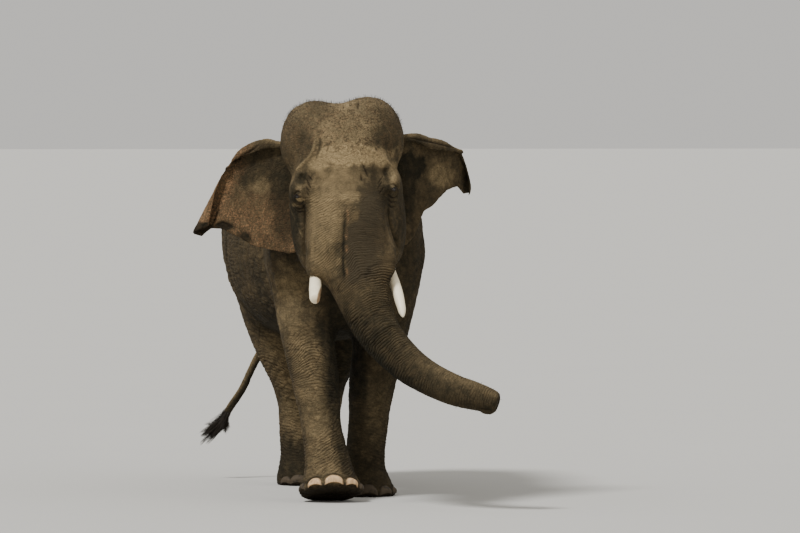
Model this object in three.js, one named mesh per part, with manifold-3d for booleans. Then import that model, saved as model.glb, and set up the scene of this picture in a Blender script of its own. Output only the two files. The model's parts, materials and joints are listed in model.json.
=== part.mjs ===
// An Asian elephant bull at life size, walking, with its ears spread and its trunk swung to its left.
// Millimetres. The animal faces -Y, +Z is up, +X is its left side, and its soles are at z = 0.
// Soft forms are fields: functions of a point that are negative inside the form. They are blended,
// meshed by surface nets, and then parted into nodes by thin cuts.
import * as THREE from "three";
import { LoftGeometry } from "three/addons/geometries/LoftGeometry.js";
import { mergeVertices } from "three/addons/utils/BufferGeometryUtils.js";
import Module from "manifold-3d";

const wasm = await Module();
wasm.setup();

// ---------------------------------------------------------------- driving dimensions

const GAP = 0.3; // what touching nodes keep between them
const SIDES = { right: -1, left: 1 };

const FRONT_CUT = 330; // where the chest ends and the barrel starts
const REAR_CUT = 1230; // where the barrel ends and the rump starts

const HEAD_TURN = -8; // degrees about +Z, so that the head looks to its right
const HEAD_LEAN = -4.5; // degrees about +Y, so that its crown leans to its right
const HEAD_PIVOT = [0, -520, 2230]; // in the turned frame, the centre of the skull's base

const TOE_LIFT = 18; // degrees, of the stepping right forefoot

const LEG_CUT = { fore: 940, hind: 700 }; // heights where the upper legs end
const FOOT_TOP = 215;
const TRUNK_CUTS = [3.3, 5.3, 7.3, 9.4, 11.5]; // in knots of the trunk, from the head to the tip
const TAIL_CUTS = [3, 5, 6]; // in knots of the tail

const CELL = { body: 112, head: 62 }; // sides of the mesh cells

// ---------------------------------------------------------------- numbers and fields

const deg = THREE.MathUtils.degToRad;
const clamp = THREE.MathUtils.clamp;
const lerp = THREE.MathUtils.lerp;

// A smooth curve through [place, value] knots, level beyond its ends.
function curveThrough(knots) {
  const last = knots.length - 1;
  const slope = knots.map((_, i) => {
    const a = knots[Math.max(i - 1, 0)];
    const b = knots[Math.min(i + 1, last)];
    return (b[1] - a[1]) / (b[0] - a[0]);
  });
  return (place) => {
    const x = clamp(place, knots[0][0], knots[last][0]);
    let i = 0;
    while (i < last - 1 && x > knots[i + 1][0]) i += 1;
    const span = knots[i + 1][0] - knots[i][0];
    const t = (x - knots[i][0]) / span;
    const s = 1 - t;
    return (
      s * s * (1 + 2 * t) * knots[i][1] +
      t * t * (3 - 2 * t) * knots[i + 1][1] +
      span * t * s * (s * slope[i] - t * slope[i + 1])
    );
  };
}

const column = (rows, i) => curveThrough(rows.map((row) => [row[0], row[i]]));

function smoothMin(a, b, softness) {
  const h = Math.max(softness - Math.abs(a - b), 0) / softness;
  return Math.min(a, b) - (h * h * softness) / 4;
}

const join = (softness, ...fields) => (x, y, z) =>
  fields.reduce((d, field) => smoothMin(d, field(x, y, z), softness), 1e6);

const carve = (softness, field, ...tools) => (x, y, z) =>
  tools.reduce((d, tool) => -smoothMin(-d, tool(x, y, z), softness), field(x, y, z));

// The field seen in a frame that the matrix places.
function placed(field, matrix) {
  const m = matrix.clone().invert().elements;
  return (x, y, z) =>
    field(
      m[0] * x + m[4] * y + m[8] * z + m[12],
      m[1] * x + m[5] * y + m[9] * z + m[13],
      m[2] * x + m[6] * y + m[10] * z + m[14],
    );
}

function ball(centre, radii, turn = [0, 0, 0]) {
  const [a, b, c] = radii;
  const field = (x, y, z) => {
    const k0 = Math.hypot(x / a, y / b, z / c);
    const k1 = Math.hypot(x / (a * a), y / (b * b), z / (c * c));
    return k1 > 1e-9 ? (k0 * (k0 - 1)) / k1 : -Math.min(a, b, c);
  };
  const matrix = new THREE.Matrix4().makeRotationFromEuler(new THREE.Euler(...turn.map(deg)));
  return placed(field, matrix.setPosition(...centre));
}

// A limb of level oval sections. Each row is [z, x, y, half width, half depth], from the ground up.
function limb(rows) {
  const [x, y, wide, deep] = [1, 2, 3, 4].map((i) => column(rows, i));
  const top = rows[rows.length - 1][0];
  return (px, py, pz) => {
    const a = wide(pz);
    const b = deep(pz);
    const oval = (Math.hypot((px - x(pz)) / a, (py - y(pz)) / b) - 1) * Math.min(a, b);
    return -smoothMin(-oval, top - pz, 120);
  };
}

const curveOf = (knots) => new THREE.CatmullRomCurve3(knots.map(([x, y, z]) => new THREE.Vector3(x, y, z)));

// A tapering rope through [x, y, z, radius] knots.
function rope(knots, steps = 6) {
  const path = curveOf(knots);
  const radius = curveThrough(knots.map((k, i) => [i, k[3]]));
  const last = knots.length - 1;
  const beads = [];
  for (let i = 0; i <= last * steps; i += 1) {
    const p = path.getPoint(i / (last * steps));
    beads.push([p.x, p.y, p.z, radius(i / steps)]);
  }
  return (x, y, z) => {
    let nearest = 1e6;
    for (let i = 1; i < beads.length; i += 1) {
      const a = beads[i - 1];
      const b = beads[i];
      const [ux, uy, uz] = [b[0] - a[0], b[1] - a[1], b[2] - a[2]];
      const [vx, vy, vz] = [x - a[0], y - a[1], z - a[2]];
      const t = clamp((ux * vx + uy * vy + uz * vz) / (ux * ux + uy * uy + uz * uz), 0, 1);
      const away = Math.hypot(vx - t * ux, vy - t * uy, vz - t * uz);
      nearest = Math.min(nearest, away - lerp(a[3], b[3], t));
    }
    return nearest;
  };
}

const mirrored = (make) => [make(SIDES.right), make(SIDES.left)];

// Repeatable random numbers from 0 to 1.
function dice(seed) {
  let state = seed;
  return () => {
    state = (state * 16807) % 2147483647;
    return state / 2147483647;
  };
}

// ---------------------------------------------------------------- solids

function solidOf(geometry) {
  const bare = new THREE.BufferGeometry();
  bare.setAttribute("position", geometry.getAttribute("position")).setIndex(geometry.index);
  const merged = mergeVertices(bare, 1e-3);
  return new wasm.Manifold(
    new wasm.Mesh({
      numProp: 3,
      vertProperties: merged.attributes.position.array,
      triVerts: new Uint32Array(merged.index.array),
    }),
  );
}

function geometryOf(solid) {
  const mesh = solid.getMesh();
  const geometry = new THREE.BufferGeometry();
  geometry.setAttribute("position", new THREE.BufferAttribute(mesh.vertProperties, 3));
  geometry.setIndex(new THREE.BufferAttribute(mesh.triVerts, 1));
  geometry.computeVertexNormals();
  return geometry;
}

const largest = (solid) =>
  solid.decompose().reduce((best, piece) => (piece.volume() > best.volume() ? piece : best));

// Meshes the surface where the field is zero, inside a box, by surface nets. Each mesh point is
// then moved onto the surface along the field's slope, and out from it by a margin.
function skinOf(field, low, high, cell, grow = 0) {
  const count = low.map((v, i) => Math.ceil((high[i] - v) / cell) + 1);
  const [nx, ny, nz] = count;
  const at = (i, j, k) => i + nx * (j + ny * k);
  const value = new Float64Array(nx * ny * nz);
  for (let k = 0; k < nz; k += 1)
    for (let j = 0; j < ny; j += 1)
      for (let i = 0; i < nx; i += 1) {
        const rim = i === 0 || j === 0 || k === 0 || i === nx - 1 || j === ny - 1 || k === nz - 1;
        const d = field(low[0] + i * cell, low[1] + j * cell, low[2] + k * cell);
        value[at(i, j, k)] = rim ? Math.max(d, cell / 2) : d;
      }
  const points = [];
  const pointOf = new Int32Array(nx * ny * nz).fill(-1);
  const corners = [0, 1, 2, 3, 4, 5, 6, 7].map((n) => [n & 1, (n >> 1) & 1, n >> 2]);
  const stepsApart = (a, b) => a.reduce((sum, v, n) => sum + Math.abs(v - b[n]), 0);
  const edges = corners.flatMap((a, n) =>
    corners.slice(n + 1).filter((b) => stepsApart(a, b) === 1).map((b) => [a, b]),
  );
  for (let k = 0; k < nz - 1; k += 1)
    for (let j = 0; j < ny - 1; j += 1)
      for (let i = 0; i < nx - 1; i += 1) {
        const sum = [0, 0, 0];
        let crossings = 0;
        for (const [a, b] of edges) {
          const da = value[at(i + a[0], j + a[1], k + a[2])];
          const db = value[at(i + b[0], j + b[1], k + b[2])];
          if (da < 0 === db < 0) continue;
          const t = da / (da - db);
          for (const n of [0, 1, 2]) sum[n] += lerp(a[n], b[n], t);
          crossings += 1;
        }
        if (!crossings) continue;
        pointOf[at(i, j, k)] = points.length;
        const p = [i, j, k].map((c, n) => low[n] + (c + sum[n] / crossings) * cell);
        const rim = [i, j, k].some((c, n) => c === 0 || c === count[n] - 2);
        points.push(rim ? p : ontoSurface(field, p, cell, grow));
      }
  const triangles = [];
  const square = (a, b, c, d, flip) => {
    const [p, q, r, s] = [a, b, c, d].map((n) => points[n]);
    const short = Math.hypot(...p.map((v, n) => v - r[n])) < Math.hypot(...q.map((v, n) => v - s[n]));
    const pair = short ? [[a, b, c], [a, c, d]] : [[b, c, d], [b, d, a]];
    for (const t of pair) triangles.push(...(flip ? [t[0], t[2], t[1]] : t));
  };
  const step = [[1, 0, 0], [0, 1, 0], [0, 0, 1]];
  for (let k = 0; k < nz - 1; k += 1)
    for (let j = 0; j < ny - 1; j += 1)
      for (let i = 0; i < nx - 1; i += 1)
        step.forEach((s, n) => {
          const inside = value[at(i, j, k)] < 0;
          if (inside === value[at(i + s[0], j + s[1], k + s[2])] < 0) return;
          const u = step[(n + 1) % 3];
          const v = step[(n + 2) % 3];
          const around = [[0, 0], [1, 0], [1, 1], [0, 1]].map(([a, b]) =>
            pointOf[at(i - a * u[0] - b * v[0], j - a * u[1] - b * v[1], k - a * u[2] - b * v[2])]);
          square(...around, !inside);
        });
  if (crowded(triangles)) return skinOf(field, low.map((v) => v - cell / 7), high, cell, grow);
  return new wasm.Manifold(
    new wasm.Mesh({
      numProp: 3,
      vertProperties: new Float32Array(points.flat()),
      triVerts: new Uint32Array(triangles),
    }),
  );
}

// Whether more than two triangles share an edge, as where two folds of the surface all but touch.
function crowded(triangles) {
  const seen = new Set();
  for (let i = 0; i < triangles.length; i += 3)
    for (const [a, b] of [[0, 1], [1, 2], [2, 0]]) {
      const key = `${triangles[i + a]} ${triangles[i + b]}`;
      if (seen.has(key)) return true;
      seen.add(key);
    }
  return false;
}

function slopeOf(field, p, step) {
  const d = field(...p);
  return p.map((_, n) => (field(...p.map((v, m) => v + (m === n ? step : 0))) - d) / step);
}

function ontoSurface(field, start, cell, grow) {
  const reach = cell * 0.45;
  let p = start;
  for (let pass = 0; pass < 3; pass += 1) {
    const slope = slopeOf(field, p, cell / 20);
    const move = field(...p) / (Math.hypot(...slope) ** 2 + 1e-6);
    p = p.map((v, n) => clamp(v - move * slope[n], start[n] - reach, start[n] + reach));
  }
  const slope = slopeOf(field, p, cell / 20);
  return p.map((v, n) => v + (grow * slope[n]) / Math.hypot(...slope));
}

// An outline in the X-Z plane, carried from one y to another.
function slab(outline, from, to) {
  const shape = new THREE.Shape(outline.map(([x, z]) => new THREE.Vector2(x, z)));
  const geometry = new THREE.ExtrudeGeometry(shape, { depth: to - from, bevelEnabled: false });
  return solidOf(geometry.rotateX(Math.PI / 2).translate(0, to, 0));
}

// A closed skin through rings of points.
const loft = (rings) => {
  const solid = solidOf(new LoftGeometry(rings, { capStart: true, capEnd: true }));
  return solid.volume() > 0 ? solid : loft(rings.map((ring) => ring.slice().reverse()));
};

// A round tapering tube through [x, y, z, radius] knots, with flat ends, grown by some margin.
function tube(knots, steps, around, grow = 0) {
  const path = curveOf(knots);
  const radius = curveThrough(knots.map((k, i) => [i / (knots.length - 1), k[3] + grow]));
  const { tangents, normals, binormals } = path.computeFrenetFrames(steps);
  const rings = [];
  for (let i = 0; i <= steps; i += 1) {
    const past = grow * ((i === steps) - (i === 0));
    const centre = path.getPoint(i / steps).addScaledVector(tangents[i], past);
    const r = radius(i / steps);
    rings.push(
      Array.from({ length: around }, (_, j) => {
        const a = (j / around) * 2 * Math.PI;
        return centre.clone()
          .addScaledVector(normals[i], r * Math.cos(a))
          .addScaledVector(binormals[i], r * Math.sin(a));
      }),
    );
  }
  return loft(rings);
}

// A ring of points where rays from a station's centre, square to its way, leave the field.
function ringOf(field, { centre, way }, ahead, sides) {
  const first = ahead.clone().projectOnPlane(way).normalize();
  const second = way.clone().cross(first).normalize();
  const inside = (p) => field(p.x, p.y, p.z) < 0;
  return Array.from({ length: sides }, (_, i) => {
    const angle = (i / sides) * 2 * Math.PI;
    const ray = first.clone().multiplyScalar(Math.cos(angle)).addScaledVector(second, Math.sin(angle));
    const at = (r) => centre.clone().addScaledVector(ray, r);
    let [near, far] = [0, 30];
    while (inside(at(far))) [near, far] = [far, far + 30];
    for (let halving = 0; halving < 12; halving += 1) {
      const half = (near + far) / 2;
      if (inside(at(half))) near = half;
      else far = half;
    }
    return at(near);
  });
}

// A closed length of the animal through rings on the field's surface.
const lengthOf = (field, stations, ahead, sides) =>
  loft(stations.map((station) => ringOf(field, station, ahead, sides)));

// Even stations from one to another, drawn in by half the gap at both ends.
function stationsBetween(from, to, count) {
  return Array.from({ length: count + 1 }, (_, i) => {
    const t = i / count;
    const way = from.way.clone().lerp(to.way, t).normalize();
    const inset = (GAP / 2) * ((i === 0) - (i === count));
    return { centre: from.centre.clone().lerp(to.centre, t).addScaledVector(way, inset), way };
  });
}

const vector = (...p) => new THREE.Vector3(...p);
const UP = vector(0, 0, 1);
const AHEAD = vector(0, -1, 0);

// Parts a solid by a plane through a point, with half the gap on each side.
function parted(solid, normal, through) {
  const n = new THREE.Vector3(...normal).normalize();
  const offset = n.dot(new THREE.Vector3(...through));
  return {
    front: solid.trimByPlane(n.toArray(), offset + GAP / 2),
    back: solid.trimByPlane(n.clone().negate().toArray(), -offset + GAP / 2),
  };
}

// ---------------------------------------------------------------- trunk of the body

// [y, top, height of the widest place, bottom, half width]
const BARREL = [
  [-260, 2440, 1850, 1330, 400],
  [0, 2590, 1850, 1200, 470],
  [400, 2655, 1800, 1120, 570],
  [850, 2660, 1800, 1070, 672],
  [1250, 2625, 1800, 1090, 702],
  [1600, 2550, 1800, 1200, 650],
  [1900, 2440, 1800, 1350, 540],
];

// [y, how far the barrel and hips swing to the animal's left as it walks]
const sway = curveThrough([[0, 0], [500, -12], [1250, -18], [1760, -22], [2000, 0]]);

function barrelField() {
  const [top, widest, bottom, half] = [1, 2, 3, 4].map((i) => column(BARREL, i));
  const start = BARREL[0][0];
  const end = BARREL[BARREL.length - 1][0];
  return (x, y, z) => {
    const middle = widest(y);
    const up = z > middle;
    const reach = up ? top(y) - middle : middle - bottom(y);
    const power = up ? 1.72 : 2.3;
    const oval = (Math.abs(x - sway(y)) / half(y)) ** power + (Math.abs(z - middle) / reach) ** power;
    const round = (oval ** (1 / power) - 1) * Math.min(half(y), reach);
    return -smoothMin(-round, -Math.max(start - y, y - end), 200);
  };
}

const torso = join(
  110,
  barrelField(),
  ball([0, -90, 1760], [400, 350, 520]), // chest
  ball([0, 1830, 1960], [520, 400, 520]), // rump
  ball([0, 2120, 1980], [210, 160, 330], [-12, 0, 0]), // below the tail's root
  ...mirrored((side) => ball([side * 310, 20, 1900], [215, 330, 520], [8, -side * 9, 0])), // shoulder blade
  ...mirrored((side) => ball([side * 400 + sway(1760), 1760, 1880], [262, 330, 420])), // hip
);

// ---------------------------------------------------------------- legs

// [z, x, y, half width, half depth], without the foot. x is to the animal's left.
const LEG_ROWS = {
  right_fore: [
    [60, -176, -450, 150, 150],
    [250, -182, -425, 160, 168],
    [420, -205, -370, 146, 160],
    [560, -222, -320, 141, 158],
    [760, -240, -245, 164, 190],
    [1130, -286, -110, 192, 245],
    [1400, -312, -30, 208, 275],
    [1800, -330, 0, 215, 300],
  ],
  left_fore: [
    [60, 155, 205, 150, 160],
    [250, 157, 195, 140, 155],
    [420, 175, 175, 143, 158],
    [560, 184, 150, 146, 160],
    [760, 196, 110, 166, 190],
    [1130, 250, 40, 192, 245],
    [1400, 293, 0, 205, 275],
    [1800, 318, 0, 213, 300],
  ],
  right_hind: [
    [60, -128, 1600, 142, 170],
    [250, -138, 1645, 132, 158],
    [420, -142, 1668, 133, 156],
    [560, -148, 1650, 136, 168],
    [714, -170, 1612, 160, 195],
    [947, -230, 1572, 218, 258],
    [1250, -302, 1640, 254, 340],
    [1700, -390, 1740, 272, 390],
  ],
  left_hind: [
    [60, 100, 2215, 142, 170],
    [250, 104, 2240, 132, 158],
    [420, 108, 2205, 133, 156],
    [560, 116, 2140, 134, 168],
    [714, 140, 2050, 134, 190],
    [947, 200, 1900, 190, 250],
    [1250, 290, 1760, 246, 335],
    [1700, 380, 1740, 270, 390],
  ],
};

// Each foot stands in its own frame: z = 0 is the sole, and -y is towards the toes.
const FOREFOOT = { radius: 216, length: 1, tall: 200, nails: 5, spread: 150 };
const HINDFOOT = { radius: 176, length: 1.16, tall: 190, nails: 4, spread: 96 };
const HEEL_SINK = 12; // how far the lifted foot presses its heel flat

const FEET = {
  right_fore: { shape: FOREFOOT, at: [-175, -505], lift: TOE_LIFT },
  left_fore: { shape: FOREFOOT, at: [155, 190], lift: 0 },
  right_hind: { shape: HINDFOOT, at: [-118, 1580], lift: 0 },
  left_hind: { shape: HINDFOOT, at: [98, 2200], lift: 0 },
};

function footField({ radius, length, tall }) {
  const share = curveThrough([
    [-60, 0.86], [0, 0.96], [40, 1], [90, 0.93], [150, 0.8], [tall, 0.73], [tall + 80, 0.68],
  ]);
  return (x, y, z) => {
    const round = Math.hypot(x, y / length) - radius * share(z);
    return -smoothMin(-round, tall - z, 110);
  };
}

// Stands the foot at its place, tipped up about the back of its heel.
function footMatrix({ shape, at, lift }) {
  const heel = shape.radius * shape.length * 0.93;
  return new THREE.Matrix4()
    .makeTranslation(at[0], at[1] + heel, lift ? -HEEL_SINK : 0)
    .multiply(new THREE.Matrix4().makeRotationX(deg(-lift)))
    .multiply(new THREE.Matrix4().makeTranslation(0, -heel, 0));
}

// A toenail is a plate with a rounded top and a bevelled rim, let into the front of the foot.
function nail({ radius, length }, angle, size) {
  const outline = new THREE.Shape();
  const half = size * 55;
  outline.moveTo(-half, -0.45 * half).lineTo(half, -0.45 * half).lineTo(half, 0.1 * half);
  outline.absellipse(0, 0.1 * half, half, 0.62 * half, 0, Math.PI, false, 0);
  const geometry = new THREE.ExtrudeGeometry(outline, {
    depth: 34, curveSegments: 5, bevelThickness: 9, bevelSize: 9, bevelOffset: -4, bevelSegments: 1,
  });
  geometry.rotateX(Math.PI / 2 + deg(12)).translate(0, 34 - radius, 36 * size).rotateZ(deg(angle));
  return geometry.scale(1, length, 1);
}

function nails(foot) {
  const { shape } = foot;
  return Array.from({ length: shape.nails }, (_, i) => {
    const aside = i / (shape.nails - 1) - 0.5;
    const size = 1.12 - 0.6 * Math.abs(aside);
    return solidOf(nail(shape, aside * shape.spread, size).applyMatrix4(footMatrix(foot)));
  });
}

const legFields = Object.fromEntries(
  Object.keys(LEG_ROWS).map((name) => [
    name,
    join(70, limb(LEG_ROWS[name]), placed(footField(FEET[name].shape), footMatrix(FEET[name]))),
  ]),
);

// ---------------------------------------------------------------- head and trunk

// The turned frame: x is the animal's left, y is behind it, as it looks ahead.
const turned = new THREE.Matrix4().makeRotationZ(deg(HEAD_TURN));
const headFrame = turned.clone()
  .multiply(new THREE.Matrix4().makeTranslation(...HEAD_PIVOT))
  .multiply(new THREE.Matrix4().makeRotationY(deg(HEAD_LEAN)));

// [x, y, z, radius] in the turned frame
const TRUNK = [
  [0, -900, 2080, 190],
  [20, -1010, 1850, 235],
  [56, -1080, 1680, 228],
  [100, -1150, 1540, 200],
  [140, -1220, 1415, 176],
  [186, -1280, 1300, 160],
  [250, -1350, 1190, 145],
  [342, -1430, 1085, 134],
  [445, -1500, 990, 126],
  [560, -1560, 915, 117],
  [660, -1605, 865, 112],
  [758, -1640, 825, 108],
  [885, -1665, 790, 99],
  [990, -1684, 760, 84],
];
const trunkField = join(
  30,
  rope(TRUNK),
  ball([1000, -1690, 712], [40, 36, 34]), // lip below the nostrils
  ball([1035, -1752, 768], [40, 26, 26]), // finger
);

// In the head's own frame, from the centre of the skull's base.
const skull = carve(
  60,
  join(
    70,
    ball([0, -60, 240], [425, 440, 300]), // braincase
    ...mirrored((side) => ball([side * 188, -70, 345], [226, 300, 236])), // domes
    ball([0, -300, 90], [325, 270, 430], [-14, 0, 0]), // brow and face
    ...mirrored((side) => ball([side * 290, -320, -20], [110, 190, 170])), // cheekbone
    ...mirrored((side) => ball([side * 278, -455, -55], [66, 80, 66])), // bulge round the eye
    ...mirrored((side) => ball([side * 262, -150, -270], [140, 260, 360], [-20, 0, 0])), // jaw muscle
    ball([0, -475, -260], [266, 270, 400], [-16, 0, 0]), // root of the trunk
    ...mirrored((side) => rope([
      [side * 190, -420, -260, 100],
      [side * 222, -540, -450, 96],
      [side * 240, -610, -585, 76],
    ])), // tusk sheath
  ),
  ...mirrored((side) => ball([side * 408, -360, 130], [80, 130, 120])), // temple
  ...mirrored((side) => ball([side * 300, -520, 70], [46, 60, 60])), // hollow above the eye
  ...mirrored((side) => rope([
    [side * 345, -500, -140, 34],
    [side * 318, -520, -260, 46],
    [side * 325, -520, -400, 50],
  ])), // crease ahead of the cheek
);
const jaw = join(
  50,
  ...mirrored((side) => rope([
    [side * 130, -120, -480, 105],
    [side * 80, -250, -600, 80],
    [side * 12, -365, -690, 44],
  ])),
);
const neck = rope([
  [0, 120, 2030, 470],
  [0, -200, 2060, 430],
  [0, -430, 2120, 390],
]);

const bodyField = join(
  90,
  torso,
  placed(neck, turned),
  placed(skull, headFrame),
  placed(trunkField, turned),
);
const wholeField = join(90, bodyField, ...Object.values(legFields));

const EYEBALL = 26; // radius
const GAZE = [0.8, -0.58, -0.1]; // the way the left eye looks, in the head's frame

// Seats each eyeball in the skin of the head, with what the lids need to lie on it.
function eyeSeat(side) {
  const out = new THREE.Vector3(side * GAZE[0], GAZE[1], GAZE[2]).normalize();
  const up = new THREE.Vector3(0, -0.25, 1).projectOnPlane(out).normalize();
  const centre = new THREE.Vector3(side * 280, -478, -62).addScaledVector(out, 300);
  for (let i = 0; i < 40; i += 1) centre.addScaledVector(out, -0.8 * skull(...centre.toArray()));
  centre.addScaledVector(out, 7 - EYEBALL);
  return { centre, out, up, along: up.clone().cross(out) };
}

const eyeball = (seat, radius) =>
  new THREE.SphereGeometry(radius, 12, 8).translate(...seat.centre.toArray()).applyMatrix4(headFrame);

// A lid is a tapered roll from corner to corner of the eye, over or under the eyeball.
function lid({ centre, out, up, along }, lift, thick) {
  const knots = [-1, -0.6, 0, 0.6, 1].map((s) => {
    const raise = deg(lift * Math.cos((s * Math.PI) / 2));
    const swing = deg(s * 72);
    const p = centre.clone()
      .addScaledVector(along, EYEBALL * Math.sin(swing))
      .addScaledVector(out, EYEBALL * Math.cos(swing) * Math.cos(raise))
      .addScaledVector(up, EYEBALL * Math.cos(swing) * Math.sin(raise));
    return [...p.applyMatrix4(headFrame), thick * (1 - 0.45 * s * s)];
  });
  return tube(knots, 6, 6);
}

// ---------------------------------------------------------------- ears

// Four edges of each ear's flat part, in the turned frame: down the root, along the folded top,
// down the rolled outer edge and along the lower edge. The roll's lower end is lifted by some way.
const EARS = {
  right: {
    root: [
      [-425, -500, 2462], [-370, -520, 2335], [-345, -550, 2175], [-325, -570, 2000], [-320, -620, 1750],
    ],
    top: [
      [-425, -500, 2462], [-500, -490, 2497], [-560, -475, 2499], [-620, -460, 2484], [-690, -440, 2455],
      [-764, -415, 2403], [-806, -400, 2330],
    ],
    outer: [
      [-806, -400, 2330], [-850, -380, 2250], [-887, -360, 2145], [-925, -350, 2040], [-1003, -360, 1842],
    ],
    lower: [
      [-320, -620, 1750], [-410, -580, 1730], [-510, -530, 1750], [-625, -490, 1775],
      [-715, -450, 1825], [-800, -420, 1870], [-880, -400, 1902], [-925, -385, 1912],
      [-970, -370, 1868], [-1003, -360, 1842],
    ],
    roll: { radius: [18, 56], turn: [150, 250], lift: 85 },
  },
  left: {
    root: [[395, -500, 2530], [365, -490, 2405], [365, -500, 2245], [355, -530, 2070], [335, -600, 1780]],
    top: [[395, -500, 2530], [470, -440, 2540], [560, -350, 2505], [660, -260, 2490], [768, -150, 2442]],
    outer: [[768, -150, 2442], [786, -130, 2400], [811, -100, 2310], [832, -80, 2210], [828, -90, 2130]],
    lower: [
      [335, -600, 1780], [415, -560, 1785], [475, -500, 1845], [525, -440, 1950], [555, -410, 2030],
      [595, -360, 2045], [680, -260, 2135], [745, -190, 2190], [780, -160, 2195], [828, -90, 2130],
    ],
    roll: { radius: [18, 28], turn: [150, 210], lift: 0 },
  },
};
const EAR_FOLD = { radius: 26, turn: 180, flap: 55 }; // of the top edge, forwards
const EAR_THICK = { root: 32, edge: 13 };
const EAR_GRID = { columns: 13, rolled: 4, rows: 12, folded: 3 };

// How far a strip of the sheet has gone, at a share of its length, round a bend of some radius.
function bend(share, radius, turn, flap, outward, ahead) {
  const length = share * (radius * turn + flap);
  const angle = Math.min(length / radius, turn);
  const rest = Math.max(length - radius * turn, 0);
  return new THREE.Vector3()
    .addScaledVector(outward, radius * Math.sin(angle) + rest * Math.cos(angle))
    .addScaledVector(ahead, radius * (1 - Math.cos(angle)) + rest * Math.sin(angle));
}

function earSurface({ root, top, outer, lower, roll }) {
  const [down, over, out, under] = [root, top, outer, lower].map(curveOf);
  const side = Math.sign(outer[0][0]);
  const flat = (u, v) => {
    const across = down.getPointAt(v).lerp(out.getPointAt(v), u);
    const along = over.getPointAt(u).lerp(under.getPointAt(u), v);
    const upper = over.getPoint(0).lerp(over.getPoint(1), u);
    const corners = upper.lerp(under.getPoint(0).lerp(under.getPoint(1), u), v);
    return across.add(along).sub(corners);
  };
  const { columns, rolled, rows, folded } = EAR_GRID;
  return (i, j) => {
    const u = Math.min(i / (columns - rolled), 1);
    const v = Math.max((j - folded) / (rows - folded), 0);
    const outward = out.getPointAt(v).sub(down.getPointAt(v)).normalize();
    const upward = over.getPointAt(u).sub(under.getPointAt(u)).normalize();
    const ahead = outward.clone().cross(upward).multiplyScalar(side).normalize();
    const round = Math.max((i - columns + rolled) / rolled, 0);
    const back = Math.max((folded - j) / folded, 0);
    const swell = Math.sin(Math.PI * clamp(u, 0.1, 0.95)) ** 0.6;
    const turnOf = deg(lerp(...roll.turn, v));
    const point = flat(u, v);
    point.add(bend(round, lerp(...roll.radius, v), turnOf, 0, outward, ahead));
    point.addScaledVector(upward, roll.lift * round ** 2 * v ** 4);
    const foldRadius = EAR_FOLD.radius * (0.4 + 0.6 * swell);
    point.add(bend(back, foldRadius, deg(EAR_FOLD.turn), EAR_FOLD.flap * swell, upward, ahead));
    return { point, thick: lerp(EAR_THICK.root, EAR_THICK.edge, u ** 0.6) };
  };
}

// A closed thin sheet over a grid of points, with the same diagonals on both faces.
function sheet(surface, columns, rows) {
  const points = [];
  for (const face of [1, -1])
    for (let j = 0; j <= rows; j += 1)
      for (let i = 0; i <= columns; i += 1) {
        const { point, thick } = surface(i, j);
        const reach = (a, b) => surface(clamp(a, 0, columns), clamp(b, 0, rows)).point;
        const across = reach(i + 0.5, j).sub(reach(i - 0.5, j));
        const normal = across.cross(reach(i, j + 0.5).sub(reach(i, j - 0.5))).normalize();
        points.push(...point.addScaledVector(normal, (face * thick) / 2));
      }
  const at = (face, i, j) => (face * (rows + 1) + j) * (columns + 1) + i;
  const index = [];
  const quad = (a, b, c, d) => index.push(a, b, c, a, c, d);
  for (let j = 0; j < rows; j += 1)
    for (let i = 0; i < columns; i += 1) {
      const [a, b, c, d] = [at(0, i, j), at(0, i + 1, j), at(0, i + 1, j + 1), at(0, i, j + 1)];
      const under = at(1, 0, 0);
      index.push(a, b, c, a, c, d);
      index.push(a + under, c + under, b + under, a + under, d + under, c + under);
    }
  for (let i = 0; i < columns; i += 1) {
    quad(at(0, i + 1, 0), at(0, i, 0), at(1, i, 0), at(1, i + 1, 0));
    quad(at(0, i, rows), at(0, i + 1, rows), at(1, i + 1, rows), at(1, i, rows));
  }
  for (let j = 0; j < rows; j += 1) {
    quad(at(0, 0, j), at(0, 0, j + 1), at(1, 0, j + 1), at(1, 0, j));
    quad(at(0, columns, j + 1), at(0, columns, j), at(1, columns, j), at(1, columns, j + 1));
  }
  const geometry = new THREE.BufferGeometry();
  geometry.setAttribute("position", new THREE.Float32BufferAttribute(points, 3));
  return solidOf(geometry.setIndex(index).applyMatrix4(turned));
}

// ---------------------------------------------------------------- tusks and tail

// [x, y, z, radius] in the turned frame, from inside the sheath to the tip
const TUSKS = {
  right: [
    [-212, -1010, 1668, 42],
    [-205, -1090, 1594, 43],
    [-200, -1230, 1510, 43],
    [-198, -1345, 1452, 39],
    [-198, -1392, 1437, 31],
  ],
  left: [
    [276, -930, 1720, 42],
    [302, -1010, 1636, 41],
    [353, -1130, 1505, 38],
    [385, -1230, 1393, 31],
    [398, -1290, 1316, 12],
  ],
};

// [x, y, z, radius], from inside the rump to the end of the bone
const TAIL = [
  [0, 2140, 2120, 66],
  [-2, 2245, 2010, 56],
  [-20, 2320, 1780, 44],
  [-80, 2370, 1450, 35],
  [-190, 2385, 1160, 29],
  [-350, 2375, 897, 25],
  [-478, 2362, 640, 21],
  [-554, 2360, 530, 20],
  [-607, 2354, 438, 17],
];
// The locks spring from the last of the bone, run on along it and gather towards one place.
const TUFT = { locks: 16, tips: [-752, 2350, 276], ahead: 90, loose: 26, width: 52, thick: 10, spread: 110 };
// A short lock, every fourth, bows away from the bone and hangs down; both are from its root.
const SHORT_LOCK = { bend: [26, 0, -40], tip: [8, 0, -95] };

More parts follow.
